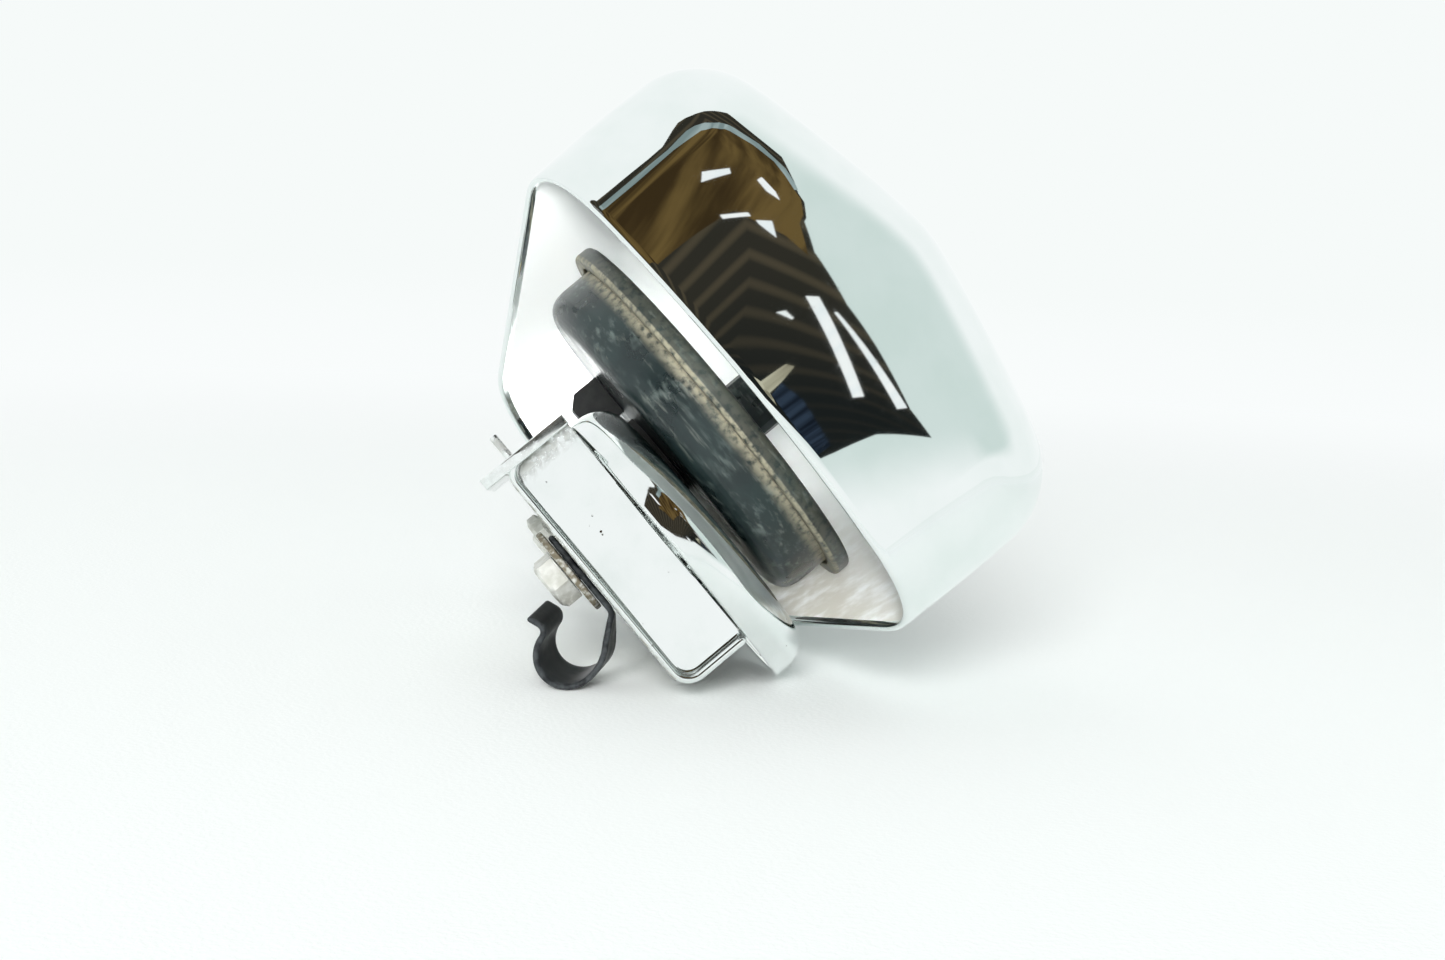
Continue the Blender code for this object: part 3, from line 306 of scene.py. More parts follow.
def cover_outline():
    """The rim's outline with its outward normals, evenly spaced. The right half is a bowed wide end, a curved
    corner, a straight side, a tighter corner and a slightly bowed narrow end; the left half mirrors it."""
    near = -COVER_LENGTH / 2
    far = COVER_LENGTH / 2
    wide = np.array([COVER_WIDE / 2, near + COVER_WIDE_BOW])
    narrow = np.array([COVER_NARROW / 2, far - COVER_NARROW_BOW])
    side = (narrow - wide) / np.linalg.norm(narrow - wide)
    share = np.linspace(0.0, 1.0, 120)[:, None]
    x = share * (COVER_WIDE / 2 - COVER_WIDE_CORNER)
    wide_end = np.hstack([x, near + COVER_WIDE_BOW * (2 * x / COVER_WIDE) ** 2])
    x = (1 - share) * (COVER_NARROW / 2 - COVER_NARROW_CORNER)
    narrow_end = np.hstack([x, far - COVER_NARROW_BOW * (2 * x / COVER_NARROW) ** 2])
    first = bowed(wide_end[-1], wide, wide + side * COVER_WIDE_CORNER, share)
    second = bowed(narrow - side * COVER_NARROW_CORNER, narrow, narrow_end[0], share)
    straight = first[-1] + share * (second[0] - first[-1])
    right = np.vstack([wide_end[:-1], first[:-1], straight[:-1], second[:-1], narrow_end])
    loop = np.vstack([right, right[::-1][1:-1] * (-1.0, 1.0), right[:1]])
    walked = np.concatenate([[0.0], np.cumsum(np.linalg.norm(np.diff(loop, axis=0), axis=1))])
    stops = np.linspace(0.0, walked[-1], COVER_COLUMNS + 1)[:-1]
    points = np.stack([np.interp(stops, walked, loop[:, k]) for k in range(2)], axis=1)
    along = sum(np.roll(points, -k, axis=0) - np.roll(points, k, axis=0) for k in (1, 2, 3, 4))
    along /= np.linalg.norm(along, axis=1)[:, None]
    return points, np.stack([along[:, 1], -along[:, 0]], axis=1)


def front_height(x, y):
    """Height of the cover's front: a shallow roof with a soft ridge at x = 0 and a little crown along y."""
    fall = np.sqrt(x ** 2 + COVER_RIDGE_SOFT ** 2) - COVER_RIDGE_SOFT
    return COVER_DEPTH - math.tan(COVER_SLOPE) * fall - COVER_CROWN * (2 * y / COVER_LENGTH) ** 2


def cover_side(depth_in):
    """One side of the cover's sheet, rim first: a wall that swells out as a quarter of a sine, a quarter turn
    over the edge, then the front drawn in towards its middle. depth_in is how far this side lies inside the
    outer one."""
    points, normal = cover_outline()
    wide_share = np.clip(-normal[:, 1:], 0.0, 1.0) ** 2
    rounding = COVER_ROUND_SIDE + (COVER_ROUND_WIDE - COVER_ROUND_SIDE) * wide_share - depth_in
    start = points - normal * depth_in
    turn = np.linspace(0.0, math.pi / 2, 18)[:, None, None]
    flat = (start + normal * COVER_SWELL)[None] - normal[None] * rounding[None] * (1 - np.cos(turn))
    height = front_height(flat[..., 0], flat[..., 1]) - depth_in
    height = height - rounding[None, :, 0] * (1 - np.sin(turn[..., 0]))
    edge = np.concatenate([flat, height[..., None]], axis=-1)
    rise = np.concatenate([COVER_RIM_ROWS, np.linspace(0.12, 1.0, 14)[:-1]])[:, None]
    swollen = start[None] + normal[None] * COVER_SWELL * np.sin(rise[..., None] * math.pi / 2)
    wall = np.concatenate([swollen, (rise * height[0])[..., None]], axis=-1)
    share = np.linspace(1.0, 0.0, 34)[1:, None, None]
    drawn = flat[-1][None] * share
    front_z = front_height(drawn[..., 0], drawn[..., 1]) - depth_in
    front = np.concatenate([drawn, front_z[..., None]], axis=-1)
    return np.concatenate([wall, edge, front])


def cover_grid():
    """The cover in one grid: its inside from the middle to the rim, a half-round lip, then its outside."""
    outer = cover_side(0.0)
    inner = cover_side(COVER_SHEET)
    _, normal = cover_outline()
    turn = np.linspace(0.0, math.pi, 7)[1:-1, None, None]
    out = np.concatenate([normal, np.zeros((len(normal), 1))], axis=1)[None]
    down = np.array([0.0, 0.0, -1.0])
    middle = (outer[0] + inner[0])[None] / 2
    lip = middle + COVER_SHEET / 2 * (-np.cos(turn) * out + np.sin(turn) * down)
    lip[..., 2] += COVER_SHEET / 2
    outer[0, :, 2] = COVER_SHEET / 2
    inner[0, :, 2] = COVER_SHEET / 2
    return np.concatenate([inner[::-1], lip, outer])


def channel_grid():
    """Middle surface of the bracket's channel: a U section with round bends, carried along Y. Each point of
    the section has its own far end, so that the end tapers on the right along a straight line."""
    half = CHANNEL_SHEET / 2
    left, right, back = CHANNEL_LEFT + half, CHANNEL_RIGHT - half, PLATE_BACK + half
    bend = CHANNEL_BEND - half
    turn = np.linspace(0.0, math.pi / 2, 12)
    down = np.linspace(CHANNEL_FRONT, back + bend, 8)[:-1]
    along = np.linspace(left + bend, right - bend, 26)[1:-1]
    x = np.concatenate([np.full(7, left), left + bend * (1 - np.cos(turn)), along])
    x = np.concatenate([x, right - bend * (1 - np.sin(turn)), np.full(7, right)])
    z = np.concatenate([down, back + bend * (1 - np.sin(turn)), np.full(24, back)])
    z = np.concatenate([z, back + bend * (1 - np.cos(turn)), down[::-1]])
    slope = (CHANNEL_FAR - TAPER_START_Y) / (CHANNEL_RIGHT - TAPER_END_X)
    far = np.minimum(CHANNEL_FAR, TAPER_START_Y + (CHANNEL_RIGHT - x) * slope)
    share = np.linspace(0.0, 1.0, 30)[:, None]
    y = CHANNEL_NEAR + share * (far[None, :] - CHANNEL_NEAR)
    return np.stack([np.broadcast_to(x, y.shape), y, np.broadcast_to(z, y.shape)], axis=-1)


def clip_grid():
    """Middle surface of the cable clip: a strip carried along a path of straights and arcs in the x, z plane.
    It runs under the bolt, bends away, goes round the loop and turns out at the tip, while its width axis
    slowly twists."""
    place = np.array([CLIP_START, CLIP_TOP - CLIP_SHEET / 2])
    heading = 0.0
    spots = [place]
    twists = [0.0]
    for run, radius, degrees, twist_from, twist_to in CLIP_STAGES:
        count = max(2, round(abs(degrees) / 5))
        walk = run * np.linspace(0.0, 1.0, 8)[1:, None] if run else np.zeros((0, 1))
        spots += list(place + walk * np.array([math.cos(heading), math.sin(heading)]))
        twists += [twist_from] * len(walk)
        place = spots[-1]
        angle = heading - math.radians(degrees) * (np.arange(count) + 0.5) / count
        chord = 2 * radius * math.sin(math.radians(abs(degrees)) / count / 2)
        arc = place + np.cumsum(chord * np.stack([np.cos(angle), np.sin(angle)], axis=1), axis=0)
        spots += list(arc)
        twists += list(twist_from + (twist_to - twist_from) * (np.arange(count) + 1) / count)
        place = spots[-1]
        heading -= math.radians(degrees)
    tip = np.array([math.cos(heading), math.sin(heading)])
    spots += list(place + CLIP_TIP * np.linspace(0.0, 1.0, 4)[1:, None] * tip)
    twists += [1.0] * 3
    spots = np.array(spots)
    twist = CLIP_TWIST * np.convolve(np.pad(twists, 4, mode="edge"), np.full(9, 1 / 9), mode="valid")
    across = np.stack([np.zeros_like(twist), np.cos(twist), np.sin(twist)], axis=1)
    middle = np.stack([spots[:, 0] + CLIP_PLACE[0], np.full(len(spots), CLIP_PLACE[1]), spots[:, 1]], axis=1)
    share = np.linspace(-0.5, 0.5, 9)[None, :, None]
    return middle[:, None] + CLIP_WIDTH * share * across[:, None]


def linear(code):
    """An sRGB hex colour as linear red, green, blue and alpha."""
    values = np.array([int(code[k:k + 2], 16) for k in (1, 3, 5)]) / 255
    return (*np.where(values <= 0.04045, values / 12.92, ((values + 0.055) / 1.055) ** 2.4), 1.0)


def add(tree, kind, inputs=None, **settings):
    """Adds a node with its settings. An input is a value or another node's output."""
    made = tree.nodes.new(kind)
    for label, value in settings.items():
        setattr(made, label, value)
    for key, value in (inputs or {}).items():
        if isinstance(value, bpy.types.NodeSocket):
            tree.links.new(value, made.inputs[key])
        else:
            made.inputs[key].default_value = value
    return made


def new_finish(name, metallic, roughness):
    """A material with its node tree, its Principled shader and Object coordinates in metres."""
    made = bpy.data.materials.new(name)
    made.use_nodes = True
    shader = made.node_tree.nodes["Principled BSDF"]
    shader.inputs["Metallic"].default_value = metallic
    shader.inputs["Roughness"].default_value = roughness
    place = add(made.node_tree, "ShaderNodeTexCoord").outputs["Object"]
    return made, made.node_tree, shader, place


def faded(tree, value, low, high):
    """A soft mask from a value: 0 at low, 1 at high."""
    inputs = {"Value": value, "From Min": low, "From Max": high}
    return add(tree, "ShaderNodeMapRange", inputs, interpolation_type="SMOOTHSTEP").outputs[0]


def dot(tree, vector, direction):
    """How far a vector goes along a direction."""
    made = add(tree, "ShaderNodeVectorMath", {0: vector, 1: direction}, operation="DOT_PRODUCT")
    return made.outputs["Value"]


def speckle(tree, place, spacing, low, high, detail=3.0, stretch=(1.0, 1.0, 1.0)):
    """A soft mask from noise with this spacing in millimetres: 0 below low, 1 above high."""
    scaled = add(tree, "ShaderNodeMapping", {"Vector": place, "Scale": [k / (spacing * MM) for k in stretch]})
    noise = add(tree, "ShaderNodeTexNoise", {"Vector": scaled.outputs[0], "Scale": 1.0, "Detail": detail})
    return faded(tree, noise.outputs["Fac"], low, high)


def blended(tree, mask, first, second):
    """Colour that goes from first to second with a mask; each is a hex value or an output."""
    made = add(tree, "ShaderNodeMix", data_type="RGBA")
    for socket, value in ((made.inputs[6], first), (made.inputs[7], second)):
        if isinstance(value, str):
            socket.default_value = linear(value)
        else:
            tree.links.new(value, socket)
    tree.links.new(mask, made.inputs[0])
    return made.outputs[2]


def times(tree, first, second, operation="MULTIPLY"):
    """One number from two, each a value or an output."""
    return add(tree, "ShaderNodeMath", {0: first, 1: second}, operation=operation).outputs[0]


def ranged(tree, mask, low, high):
    """A mask of 0 to 1 spread to low and high."""
    return add(tree, "ShaderNodeMapRange", {"Value": mask, "To Min": low, "To Max": high}).outputs[0]


def bumped(tree, shader, height, depth):
    """Bump on a shader from a height mask, depth in millimetres."""
    inputs = {"Height": height, "Distance": depth * MM, "Strength": 1.0}
    tree.links.new(add(tree, "ShaderNodeBump", inputs).outputs[0], shader.inputs["Normal"])


def mark(tree, name):
    """A number stored on the piece's points."""
    return add(tree, "ShaderNodeAttribute", attribute_name=name).outputs["Fac"]


def bright_chrome():
    """Chromium plate over polished steel: a clear mirror outside, with a faint haze of polishing marks, and a
    pale dull plate inside, where the sheet is left unpolished, darker in brownish patches where a mark says
    so."""
    made, tree, shader, place = new_finish("bright_chrome_plate", 1.0, 0.03)
    haze = speckle(tree, place, 14.0, 0.35, 0.75)
    inside = mark(tree, "inside")
    bright = blended(tree, haze, "#F0F5F4", "#EAF1EF")
    low_darkening = times(tree, mark(tree, "low_darkening"), speckle(tree, place, 6.0, 0.20, 0.60, 5.0))
    pale = blended(tree, low_darkening, "#F7FAF9", "#CFCDC3")
    tree.links.new(blended(tree, inside, bright, pale), shader.inputs["Base Color"])
    hair = speckle(tree, place, 1.6, 0.60, 0.80, 4.0, (1.0, 0.06, 1.0))
    polish = ranged(tree, times(tree, haze, hair), 0.022, 0.085)
    tree.links.new(times(tree, polish, times(tree, inside, 0.5), "ADD"), shader.inputs["Roughness"])
    tree.links.new(ranged(tree, inside, 1.0, 0.15), shader.inputs["Metallic"])
    return made


def pitted_chrome():
    """Weathered chromium plate: still a mirror, with a few brown rust pits, and a brown-grey mark where an
    attribute says so: stains on most pieces, painted shade on the end plate's edge and on the rail's back
    face.
    """
    made, tree, shader, place = new_finish("pitted_chrome_plate", 1.0, 0.06)
    cell = add(tree, "ShaderNodeTexVoronoi", {"Vector": place, "Scale": 1 / (2.4 * MM)})
    dots = faded(tree, cell.outputs["Distance"], 0.13, 0.07)
    pits = times(tree, dots, speckle(tree, place, 8.0, 0.56, 0.66))
    haze = speckle(tree, place, 9.0, 0.40, 0.80, 4.0)
    grime_and_shade = times(tree, mark(tree, "grime_and_shade"), speckle(tree, place, 1.8, 0.30, 0.60, 6.0))
    plate = blended(tree, haze, "#F1F5F4", "#E9EFED")
    rusty = blended(tree, pits, plate, "#54463A")
    tree.links.new(blended(tree, grime_and_shade, rusty, "#6B6654"), shader.inputs["Base Color"])
    worn = times(tree, ranged(tree, haze, 0.04, 0.09), times(tree, pits, 0.5), "ADD")
    tree.links.new(times(tree, worn, grime_and_shade, "ADD"), shader.inputs["Roughness"])
    tree.links.new(ranged(tree, grime_and_shade, 1.0, 0.25), shader.inputs["Metallic"])
    bumped(tree, shader, times(tree, pits, -1.0), 0.08)
    return made


def horn_paint():
    """Black stove paint on pressed steel, gone slate grey with age: pale smears along the rim, and dust in
    the seam where a mark says so."""
    made, tree, shader, place = new_finish("aged_black_stove_paint", 0.0, 0.42)
    cloud = speckle(tree, place, 14.0, 0.35, 0.70, 5.0)
    inputs = {"Vector": place, "Rotation": (0.0, -math.radians(LYING_TURN[1]), 0.0)}
    turned = add(tree, "ShaderNodeMapping", inputs).outputs[0]
    smear = speckle(tree, turned, 1.5, 0.46, 0.74, 7.0, (0.30, 0.6, 1.0))
    scuff = times(tree, smear, speckle(tree, place, 13.0, 0.45, 0.65))
    streak = speckle(tree, turned, 1.2, 0.58, 0.74, 4.0, (0.12, 0.5, 1.0))
    fine = speckle(tree, place, 1.6, 0.25, 0.60, 6.0)
    patchy = times(tree, fine, speckle(tree, place, 8.0, 0.18, 0.52, 4.0))
    dust = times(tree, mark(tree, "dust"), patchy)
    base = blended(tree, cloud, "#141F20", "#223030")
    rubbed = blended(tree, times(tree, scuff, 0.5), base, "#77847F")
    marked = blended(tree, times(tree, streak, 0.35), rubbed, "#7C827A")
    tree.links.new(blended(tree, dust, marked, "#B4AE96"), shader.inputs["Base Color"])
    rough = times(tree, ranged(tree, cloud, 0.26, 0.40), times(tree, dust, 0.40), "ADD")
    tree.links.new(rough, shader.inputs["Roughness"])
    bumped(tree, shader, times(tree, scuff, dust, "ADD"), 0.04)
    return made


def dull_zinc():
    """Zinc plate on a steel fastener: pale grey where it is clean, brown-grey in small stains and where a
    mark
    says so: dried-on stains on the washer, painted shade on the bolt's lower side.
    """
    made, tree, shader, place = new_finish("dull_zinc_plate", 0.9, 0.30)
    cloud = speckle(tree, place, 3.0, 0.35, 0.70, 5.0)
    spots = times(tree, speckle(tree, place, 1.3, 0.62, 0.78, 4.0), 0.15)
    crust_and_shade = times(tree, mark(tree, "grime_and_shade"), speckle(tree, place, 1.1, 0.28, 0.58, 6.0))
    dirt_and_shade = times(tree, spots, crust_and_shade, "MAXIMUM")
    grey = blended(tree, cloud, "#D6D7D2", "#BCBDB5")
    tree.links.new(blended(tree, dirt_and_shade, grey, "#6A6353"), shader.inputs["Base Color"])
    rough = times(tree, ranged(tree, cloud, 0.36, 0.50), times(tree, dirt_and_shade, 0.4), "ADD")
    tree.links.new(rough, shader.inputs["Roughness"])
    tree.links.new(ranged(tree, dirt_and_shade, 0.35, 0.1), shader.inputs["Metallic"])
    bumped(tree, shader, dirt_and_shade, 0.02)
    return made


def black_spring_steel():
    """Blackened spring steel: a thin dark oxide with an oily sheen, rubbed brighter along its edges."""
    made, tree, shader, place = new_finish("blackened_spring_steel", 0.0, 0.40)
    cloud = speckle(tree, place, 4.0, 0.35, 0.70, 5.0)
    rub = times(tree, mark(tree, "edge"), speckle(tree, place, 1.5, 0.35, 0.60, 4.0))
    black = blended(tree, cloud, "#17191B", "#26292B")
    tree.links.new(blended(tree, times(tree, rub, 0.4), black, "#54585A"), shader.inputs["Base Color"])
    shader.inputs["Specular IOR Level"].default_value = 0.3
    tree.links.new(ranged(tree, cloud, 0.34, 0.52), shader.inputs["Roughness"])
    bumped(tree, shader, cloud, 0.03)
    return made


def plain(name, first, second, metallic, rough_low, rough_high, spacing):
    """Two close colours in soft clouds of this spacing in millimetres, with uneven roughness."""
    made, tree, shader, place = new_finish(name, metallic, rough_low)
    cloud = speckle(tree, place, spacing, 0.35, 0.68, 4.0)
    tree.links.new(blended(tree, cloud, first, second), shader.inputs["Base Color"])
    tree.links.new(ranged(tree, cloud, rough_low, rough_high), shader.inputs["Roughness"])
    bumped(tree, shader, cloud, 0.02)
    return made


# Finishes
CHROME = bright_chrome()
PITTED = pitted_chrome()
PAINT = horn_paint()
ZINC = dull_zinc()
BLACK_STEEL = black_spring_steel()
SPRING = plain("bare_spring_steel", "#9EA3A5", "#83888A", 1.0, 0.25, 0.40, 3.0)
IRON = plain("bare_soft_iron", "#7D7E7E", "#626262", 1.0, 0.40, 0.60, 2.0)
COPPER = plain("enamelled_copper_wire", "#A4592F", "#8A4725", 0.9, 0.25, 0.40, 1.0)
BRASS = plain("tarnished_brass", "#B59A52", "#8D7638", 1.0, 0.28, 0.45, 2.5)
PLASTIC = plain("black_phenolic_moulding", "#1C1D1D", "#2B2C2B", 0.0, 0.40, 0.60, 2.0)
BOARD = plain("pressed_gasket_board", "#4A3F33", "#5B4F41", 0.0, 0.80, 0.95, 1.2)
RUBBER = plain("black_rubber", "#151515", "#242423", 0.0, 0.65, 0.85, 2.0)

# Finishes of the nodes whose own shape stays
KEPT = {
    PAINT: ("cover_post",),
    ZINC: ("spacer_tube", "tone_screw", "stem_washer", "stem_nut"),
    SPRING: ("diaphragm", "breaker_arm"),
    IRON: ("armature", "pole_core"),
    COPPER: ("coil_winding",),
    BRASS: ("fixed_contact", "terminal_blade_a", "terminal_blade_b"),
    PLASTIC: ("coil_bobbin", "contact_base", "terminal_block"),
    BOARD: ("rim_gasket",),
    RUBBER: ("stud_rubber",),
}
for finish, names in KEPT.items():
    for name in names:
        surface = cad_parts[name].data.materials
        surface.clear()
        surface.append(finish)

# Cover
grid = cover_grid()
inside = (np.arange(len(grid)) < len(cover_side(0.0)) - 2)[:, None]
grid = from_cover(grid)
# The cover's inside goes darker towards the bottom, below a height above the table
low_darkening = inside * np.clip((LOW_DARK_TOP - grid[..., 2]) / LOW_DARK_FADE, 0, 1)
cover = skin("bell_cover", grid, CHROME, stands_for=("cover_shell",), wrap=(False, True),
             marks={"inside": inside, "low_darkening": low_darkening})

# Drum with its flange, and the rolled ring round it
drum = [
    (SHEET_RADIUS, HOUSING_TOP), (SHEET_RADIUS, FLANGE_LOW),
    (DRUM_RADIUS, FLANGE_LOW), (DRUM_RADIUS, HOUSING_BACK),
    (STUD_HOLE, HOUSING_BACK), (STUD_HOLE, HOUSING_BACK + DRUM_SHEET),
    (DRUM_RADIUS - DRUM_SHEET, HOUSING_BACK + DRUM_SHEET), (DRUM_RADIUS - DRUM_SHEET, HOUSING_TOP),
]
outline = dense(rounded(drum, (0.3, 0.3, 1.2, 6.0, 0.4, 0.4, 4.0, 0.3), 9), 0.6)
dust = (0.9 * np.clip(1 - (RING_LOW - outline[:, 1]) / 2.6, 0, 1) * (outline[:, 0] > 40))[:, None]
skin("horn_drum", from_horn(spun(outline, columns=240)), PAINT, stands_for=("horn_housing",),
     wrap=(True, True), marks={"dust": dust})
ring = [
    (RING_INNER, RING_FRONT), (FLANGE_RADIUS, RING_FRONT),
    (FLANGE_RADIUS, RING_LOW), (RING_INNER, RING_LOW),
    (RING_INNER, RING_LOW + RING_SHEET), (RING_HOLLOW, RING_LOW + RING_SHEET),
    (RING_HOLLOW, RING_FRONT - RING_SHEET), (RING_INNER, RING_FRONT - RING_SHEET),
]
outline = dense(rounded(ring, (0.3, 2.0, 1.1, 0.35, 0.2, 0.2, 0.2, 0.2), 8), 0.6)
dust = (0.12 + 0.6 * (outline[:, 1] < RING_LOW + 0.9))[:, None]
skin("rolled_ring", from_horn(spun(outline, columns=240)), PAINT, stands_for=("crimp_ring",),
     wrap=(True, True), marks={"dust": dust})

# The horn's front plate, with a low flat middle
cap = [
    (0.0, CAP_TOP), (CAP_FLAT, CAP_TOP), (CAP_FOOT, CAP_RIM), (CAP_RADIUS, CAP_RIM),
    (CAP_RADIUS, CAP_RIM - CAP_SHEET), (CAP_FOOT - CAP_INSET, CAP_RIM - CAP_SHEET),
    (CAP_FLAT - CAP_INSET, CAP_TOP - CAP_SHEET), (0.0, CAP_TOP - CAP_SHEET),
]
outline = rounded(cap, (0.0, 3.0, 3.0, 0.2, 0.2, 3.0, 3.0, 0.0), 8)
skin("shallow_cap", from_horn(spun(outline, columns=160)), PAINT, stands_for=("front_cap",),
     wrap=(False, True))

# Bracket: a dish with a rolled shoulder and a round lip, the channel, and the plate that closes its near end
turn = np.linspace(math.pi / 2, 0.0, 24)
arc = np.stack([np.cos(turn), np.sin(turn)], axis=1)
roll = np.array([DISH_RADIUS - DISH_ROUND, DISH_FRONT - DISH_ROUND])
lip = np.array([DISH_RADIUS - DISH_SHEET / 2, DISH_BACK + DISH_LIP])
turn = np.linspace(0.0, -math.pi, 9)
edge = np.stack([np.cos(turn) * DISH_SHEET / 2, np.sin(turn) * DISH_LIP], axis=1)
outline = np.vstack([
    (0.0, DISH_FRONT), roll + DISH_ROUND * arc, lip + edge,
    roll + (DISH_ROUND - DISH_SHEET) * arc[::-1], (0.0, DISH_FRONT - DISH_SHEET),
])
grime_and_shade = (0.5 * (outline[:, 0] < 31) * (outline[:, 1] < -20.5))[:, None]
skin("bracket_bowl", from_horn(spun(outline, DISH_CENTRE, 220)), PITTED, stands_for=("bracket_dish",),
     wrap=(False, True), marks={"grime_and_shade": grime_and_shade})
grid = plated(channel_grid(), CHANNEL_SHEET)
grime_and_shade = np.clip((grid[..., 1] - CHANNEL_NEAR - 3) / 8, 0, 1) * 0.5 * (grid[..., 2] > PLATE_BACK + 0.9)
# The rail's back face, turned down and away, is darker: painted shade on top of its stains
rear = (grid[..., 2] < PLATE_BACK + 0.5) * 0.75
skin("bracket_rail", from_horn(grid), PITTED, stands_for=("bracket_channel",), wrap=(False, True),
     marks={"grime_and_shade": np.maximum(grime_and_shade, rear)})
web_left = CHANNEL_LEFT + CHANNEL_SHEET + 0.05
web_right = CHANNEL_RIGHT - CHANNEL_SHEET - 0.05
web_back = PLATE_BACK + CHANNEL_SHEET + 0.05
web = [(web_left, CHANNEL_FRONT), (web_left, web_back), (web_right, web_back), (web_right, CHANNEL_FRONT)]
outline = dense(rounded(web, (0.6, 4.3, 4.3, 0.6), 10), 1.0)
grid = slab(outline, -(WEB_NEAR + CHANNEL_SHEET), -WEB_NEAR, 0.25)
grid = np.stack([grid[..., 0], -grid[..., 2], grid[..., 1]], axis=-1)
# Painted shade: the end plate goes darker towards its edge in the corner by the rail's side
grime_and_shade = 0.75 * np.clip(1 - (grid[..., 0] - web_left) / 3.5, 0, 1)
skin("bracket_end_plate", from_horn(grid), PITTED, stands_for=("bracket_web",), wrap=(False, True),
     marks={"grime_and_shade": grime_and_shade})

# Cable clip, its bolt and washer, and the nuts
grid = plated(clip_grid(), CLIP_SHEET)
rub = np.zeros(grid.shape[1])
rub[8:15] = 1.0
rub[-6:] = 1.0
skin("j_clip", from_horn(grid), BLACK_STEEL, "clip", ("cable_clip",), (False, True),
     marks={"edge": rub[None, :]})
head = np.array([
    (0.0, -54.05), (4.0, -54.05), (4.6, -53.9), (5.2, -53.5), (6.1, -52.9), (6.1, -49.5), (5.8, -49.3),
    (3.0, -49.25), (3.0, -38.0), (2.6, -37.5), (0.0, -37.5),
])
grid = from_horn(hex_bounded(head, BOLT_FLATS, CLIP_PLACE, BOLT_TURN))
# Painted shade: the bolt goes browner and duller the lower it lies in the world below its head's end
grime_and_shade = 0.6 * np.clip(0.2 - (grid[..., 2] - grid[:6, :, 2].mean()) / 0.006, 0, 1)
skin("hex_bolt", grid, ZINC, stands_for=("clip_bolt",), wrap=(False, True), sharp=25,
     marks={"grime_and_shade": grime_and_shade})
ring = [
    (WASHER_BORE, WASHER_HIGH), (WASHER_RADIUS, WASHER_HIGH),
    (WASHER_RADIUS, WASHER_LOW), (WASHER_BORE, WASHER_LOW),
]
grid = spun(rounded(ring, 0.35, 4), CLIP_PLACE, 120)
skin("wide_washer", from_horn(grid), ZINC, stands_for=("clip_washer",), wrap=(True, True),
     marks={"grime_and_shade": 1.0})


def nut(name, node, flats, bore, low, high, place):
    """A hexagon nut: a bored ring with chamfered rims, cut by its hexagon."""
    corner = flats / math.sqrt(3)
    rim = flats / 2
    ring = np.array([
        (bore, low), (rim - 0.2, low), (corner, low + 0.7),
        (corner, high - 0.7), (rim - 0.2, high), (bore, high),
    ])
    grid = hex_bounded(ring, flats, place)
    skin(name, from_horn(grid), ZINC, stands_for=(node,), wrap=(True, True), sharp=25)


nut("horn_nut", "stud_nut", 13.0, 4.1, -49.55, -46.15, (0.0, 0.0))
nut("bolt_nut", "clip_nut", 10.0, 3.1, -43.85, -39.25, CLIP_PLACE)
nut("lock_nut", "tone_lock_nut", 8.0, 2.1, -19.4, -16.8, (8.0, 30.0))

# Mounting ear, the bracket's raised side, and the rear stud
EAR_MIDDLE = np.array([-10.0, 29.0])
EAR_RADIUS = 17.0
EAR_HOLE = 4.3
EAR_LOW = -43.85
WING_OUT = -19.4
WING_IN = -17.0
WING_LOW = -50.4
arc = np.linspace(0.0, math.pi, 40)
end = EAR_MIDDLE + EAR_RADIUS * np.stack([np.cos(arc), np.sin(arc)], axis=1)
root = np.array([(-27.0, 14.3), (-13.75, 14.3), (-13.75, 8.5), (7.0, 8.5)])
outline = np.concatenate([end, root])
grid = slab(dense(outline, 1.5), EAR_LOW, EAR_LOW + CHANNEL_SHEET, 0.35, EAR_MIDDLE, EAR_HOLE)
skin("mounting_ear", from_horn(grid), PITTED, stands_for=("bracket_ear",), wrap=(True, True),
     marks={"grime_and_shade": 0.45})
wing = [
    (WING_OUT, CHANNEL_NEAR - 0.3), (WING_IN, CHANNEL_NEAR - 0.3),
    (WING_IN, CHANNEL_FAR), (WING_OUT, CHANNEL_FAR),
]
grid = slab(rounded(wing, 0.35, 5), WING_LOW, CHANNEL_FRONT + 0.1, 0.35)
skin("bracket_wing", from_horn(grid), PITTED, wrap=(False, True), marks={"grime_and_shade": 0.1})
rod = np.array([(0.0, -50.55), (3.3, -50.55), (4.0, -49.9), (4.0, -11.2), (3.8, -11.0), (0.0, -11.0)])
skin("threaded_stud", from_horn(spun(rod, columns=64)), ZINC, stands_for=("rear_stud",),
     wrap=(False, True))


def table_top():
    """Matte white table cover with a fine leather grain. Far from the part it fades to the colour of the
    room, so that no edge of the table shows against it."""
    made, tree, shader, place = new_finish("white_leathercloth", 0.0, 0.75)
    grain = speckle(tree, place, 1.2, 0.35, 0.65, 4.0)
    shader.inputs["Base Color"].default_value = linear("#F8FBFA")
    shader.inputs["Specular IOR Level"].default_value = 0.2
    bumped(tree, shader, grain, 0.03)
    away = add(tree, "ShaderNodeVectorMath", {0: place}, operation="LENGTH").outputs["Value"]
    far = faded(tree, away, 0.16, 0.75)
    paler = faded(tree, away, 0.3, 2.5)
    glow = add(tree, "ShaderNodeEmission", {"Color": blended(tree, paler, NEAR_WHITE, ROOM_WHITE)})
    mixed = add(tree, "ShaderNodeMixShader", {0: far, 1: shader.outputs[0], 2: glow.outputs[0]})
    tree.links.new(mixed.outputs[0], tree.nodes["Material Output"].inputs["Surface"])
    return made


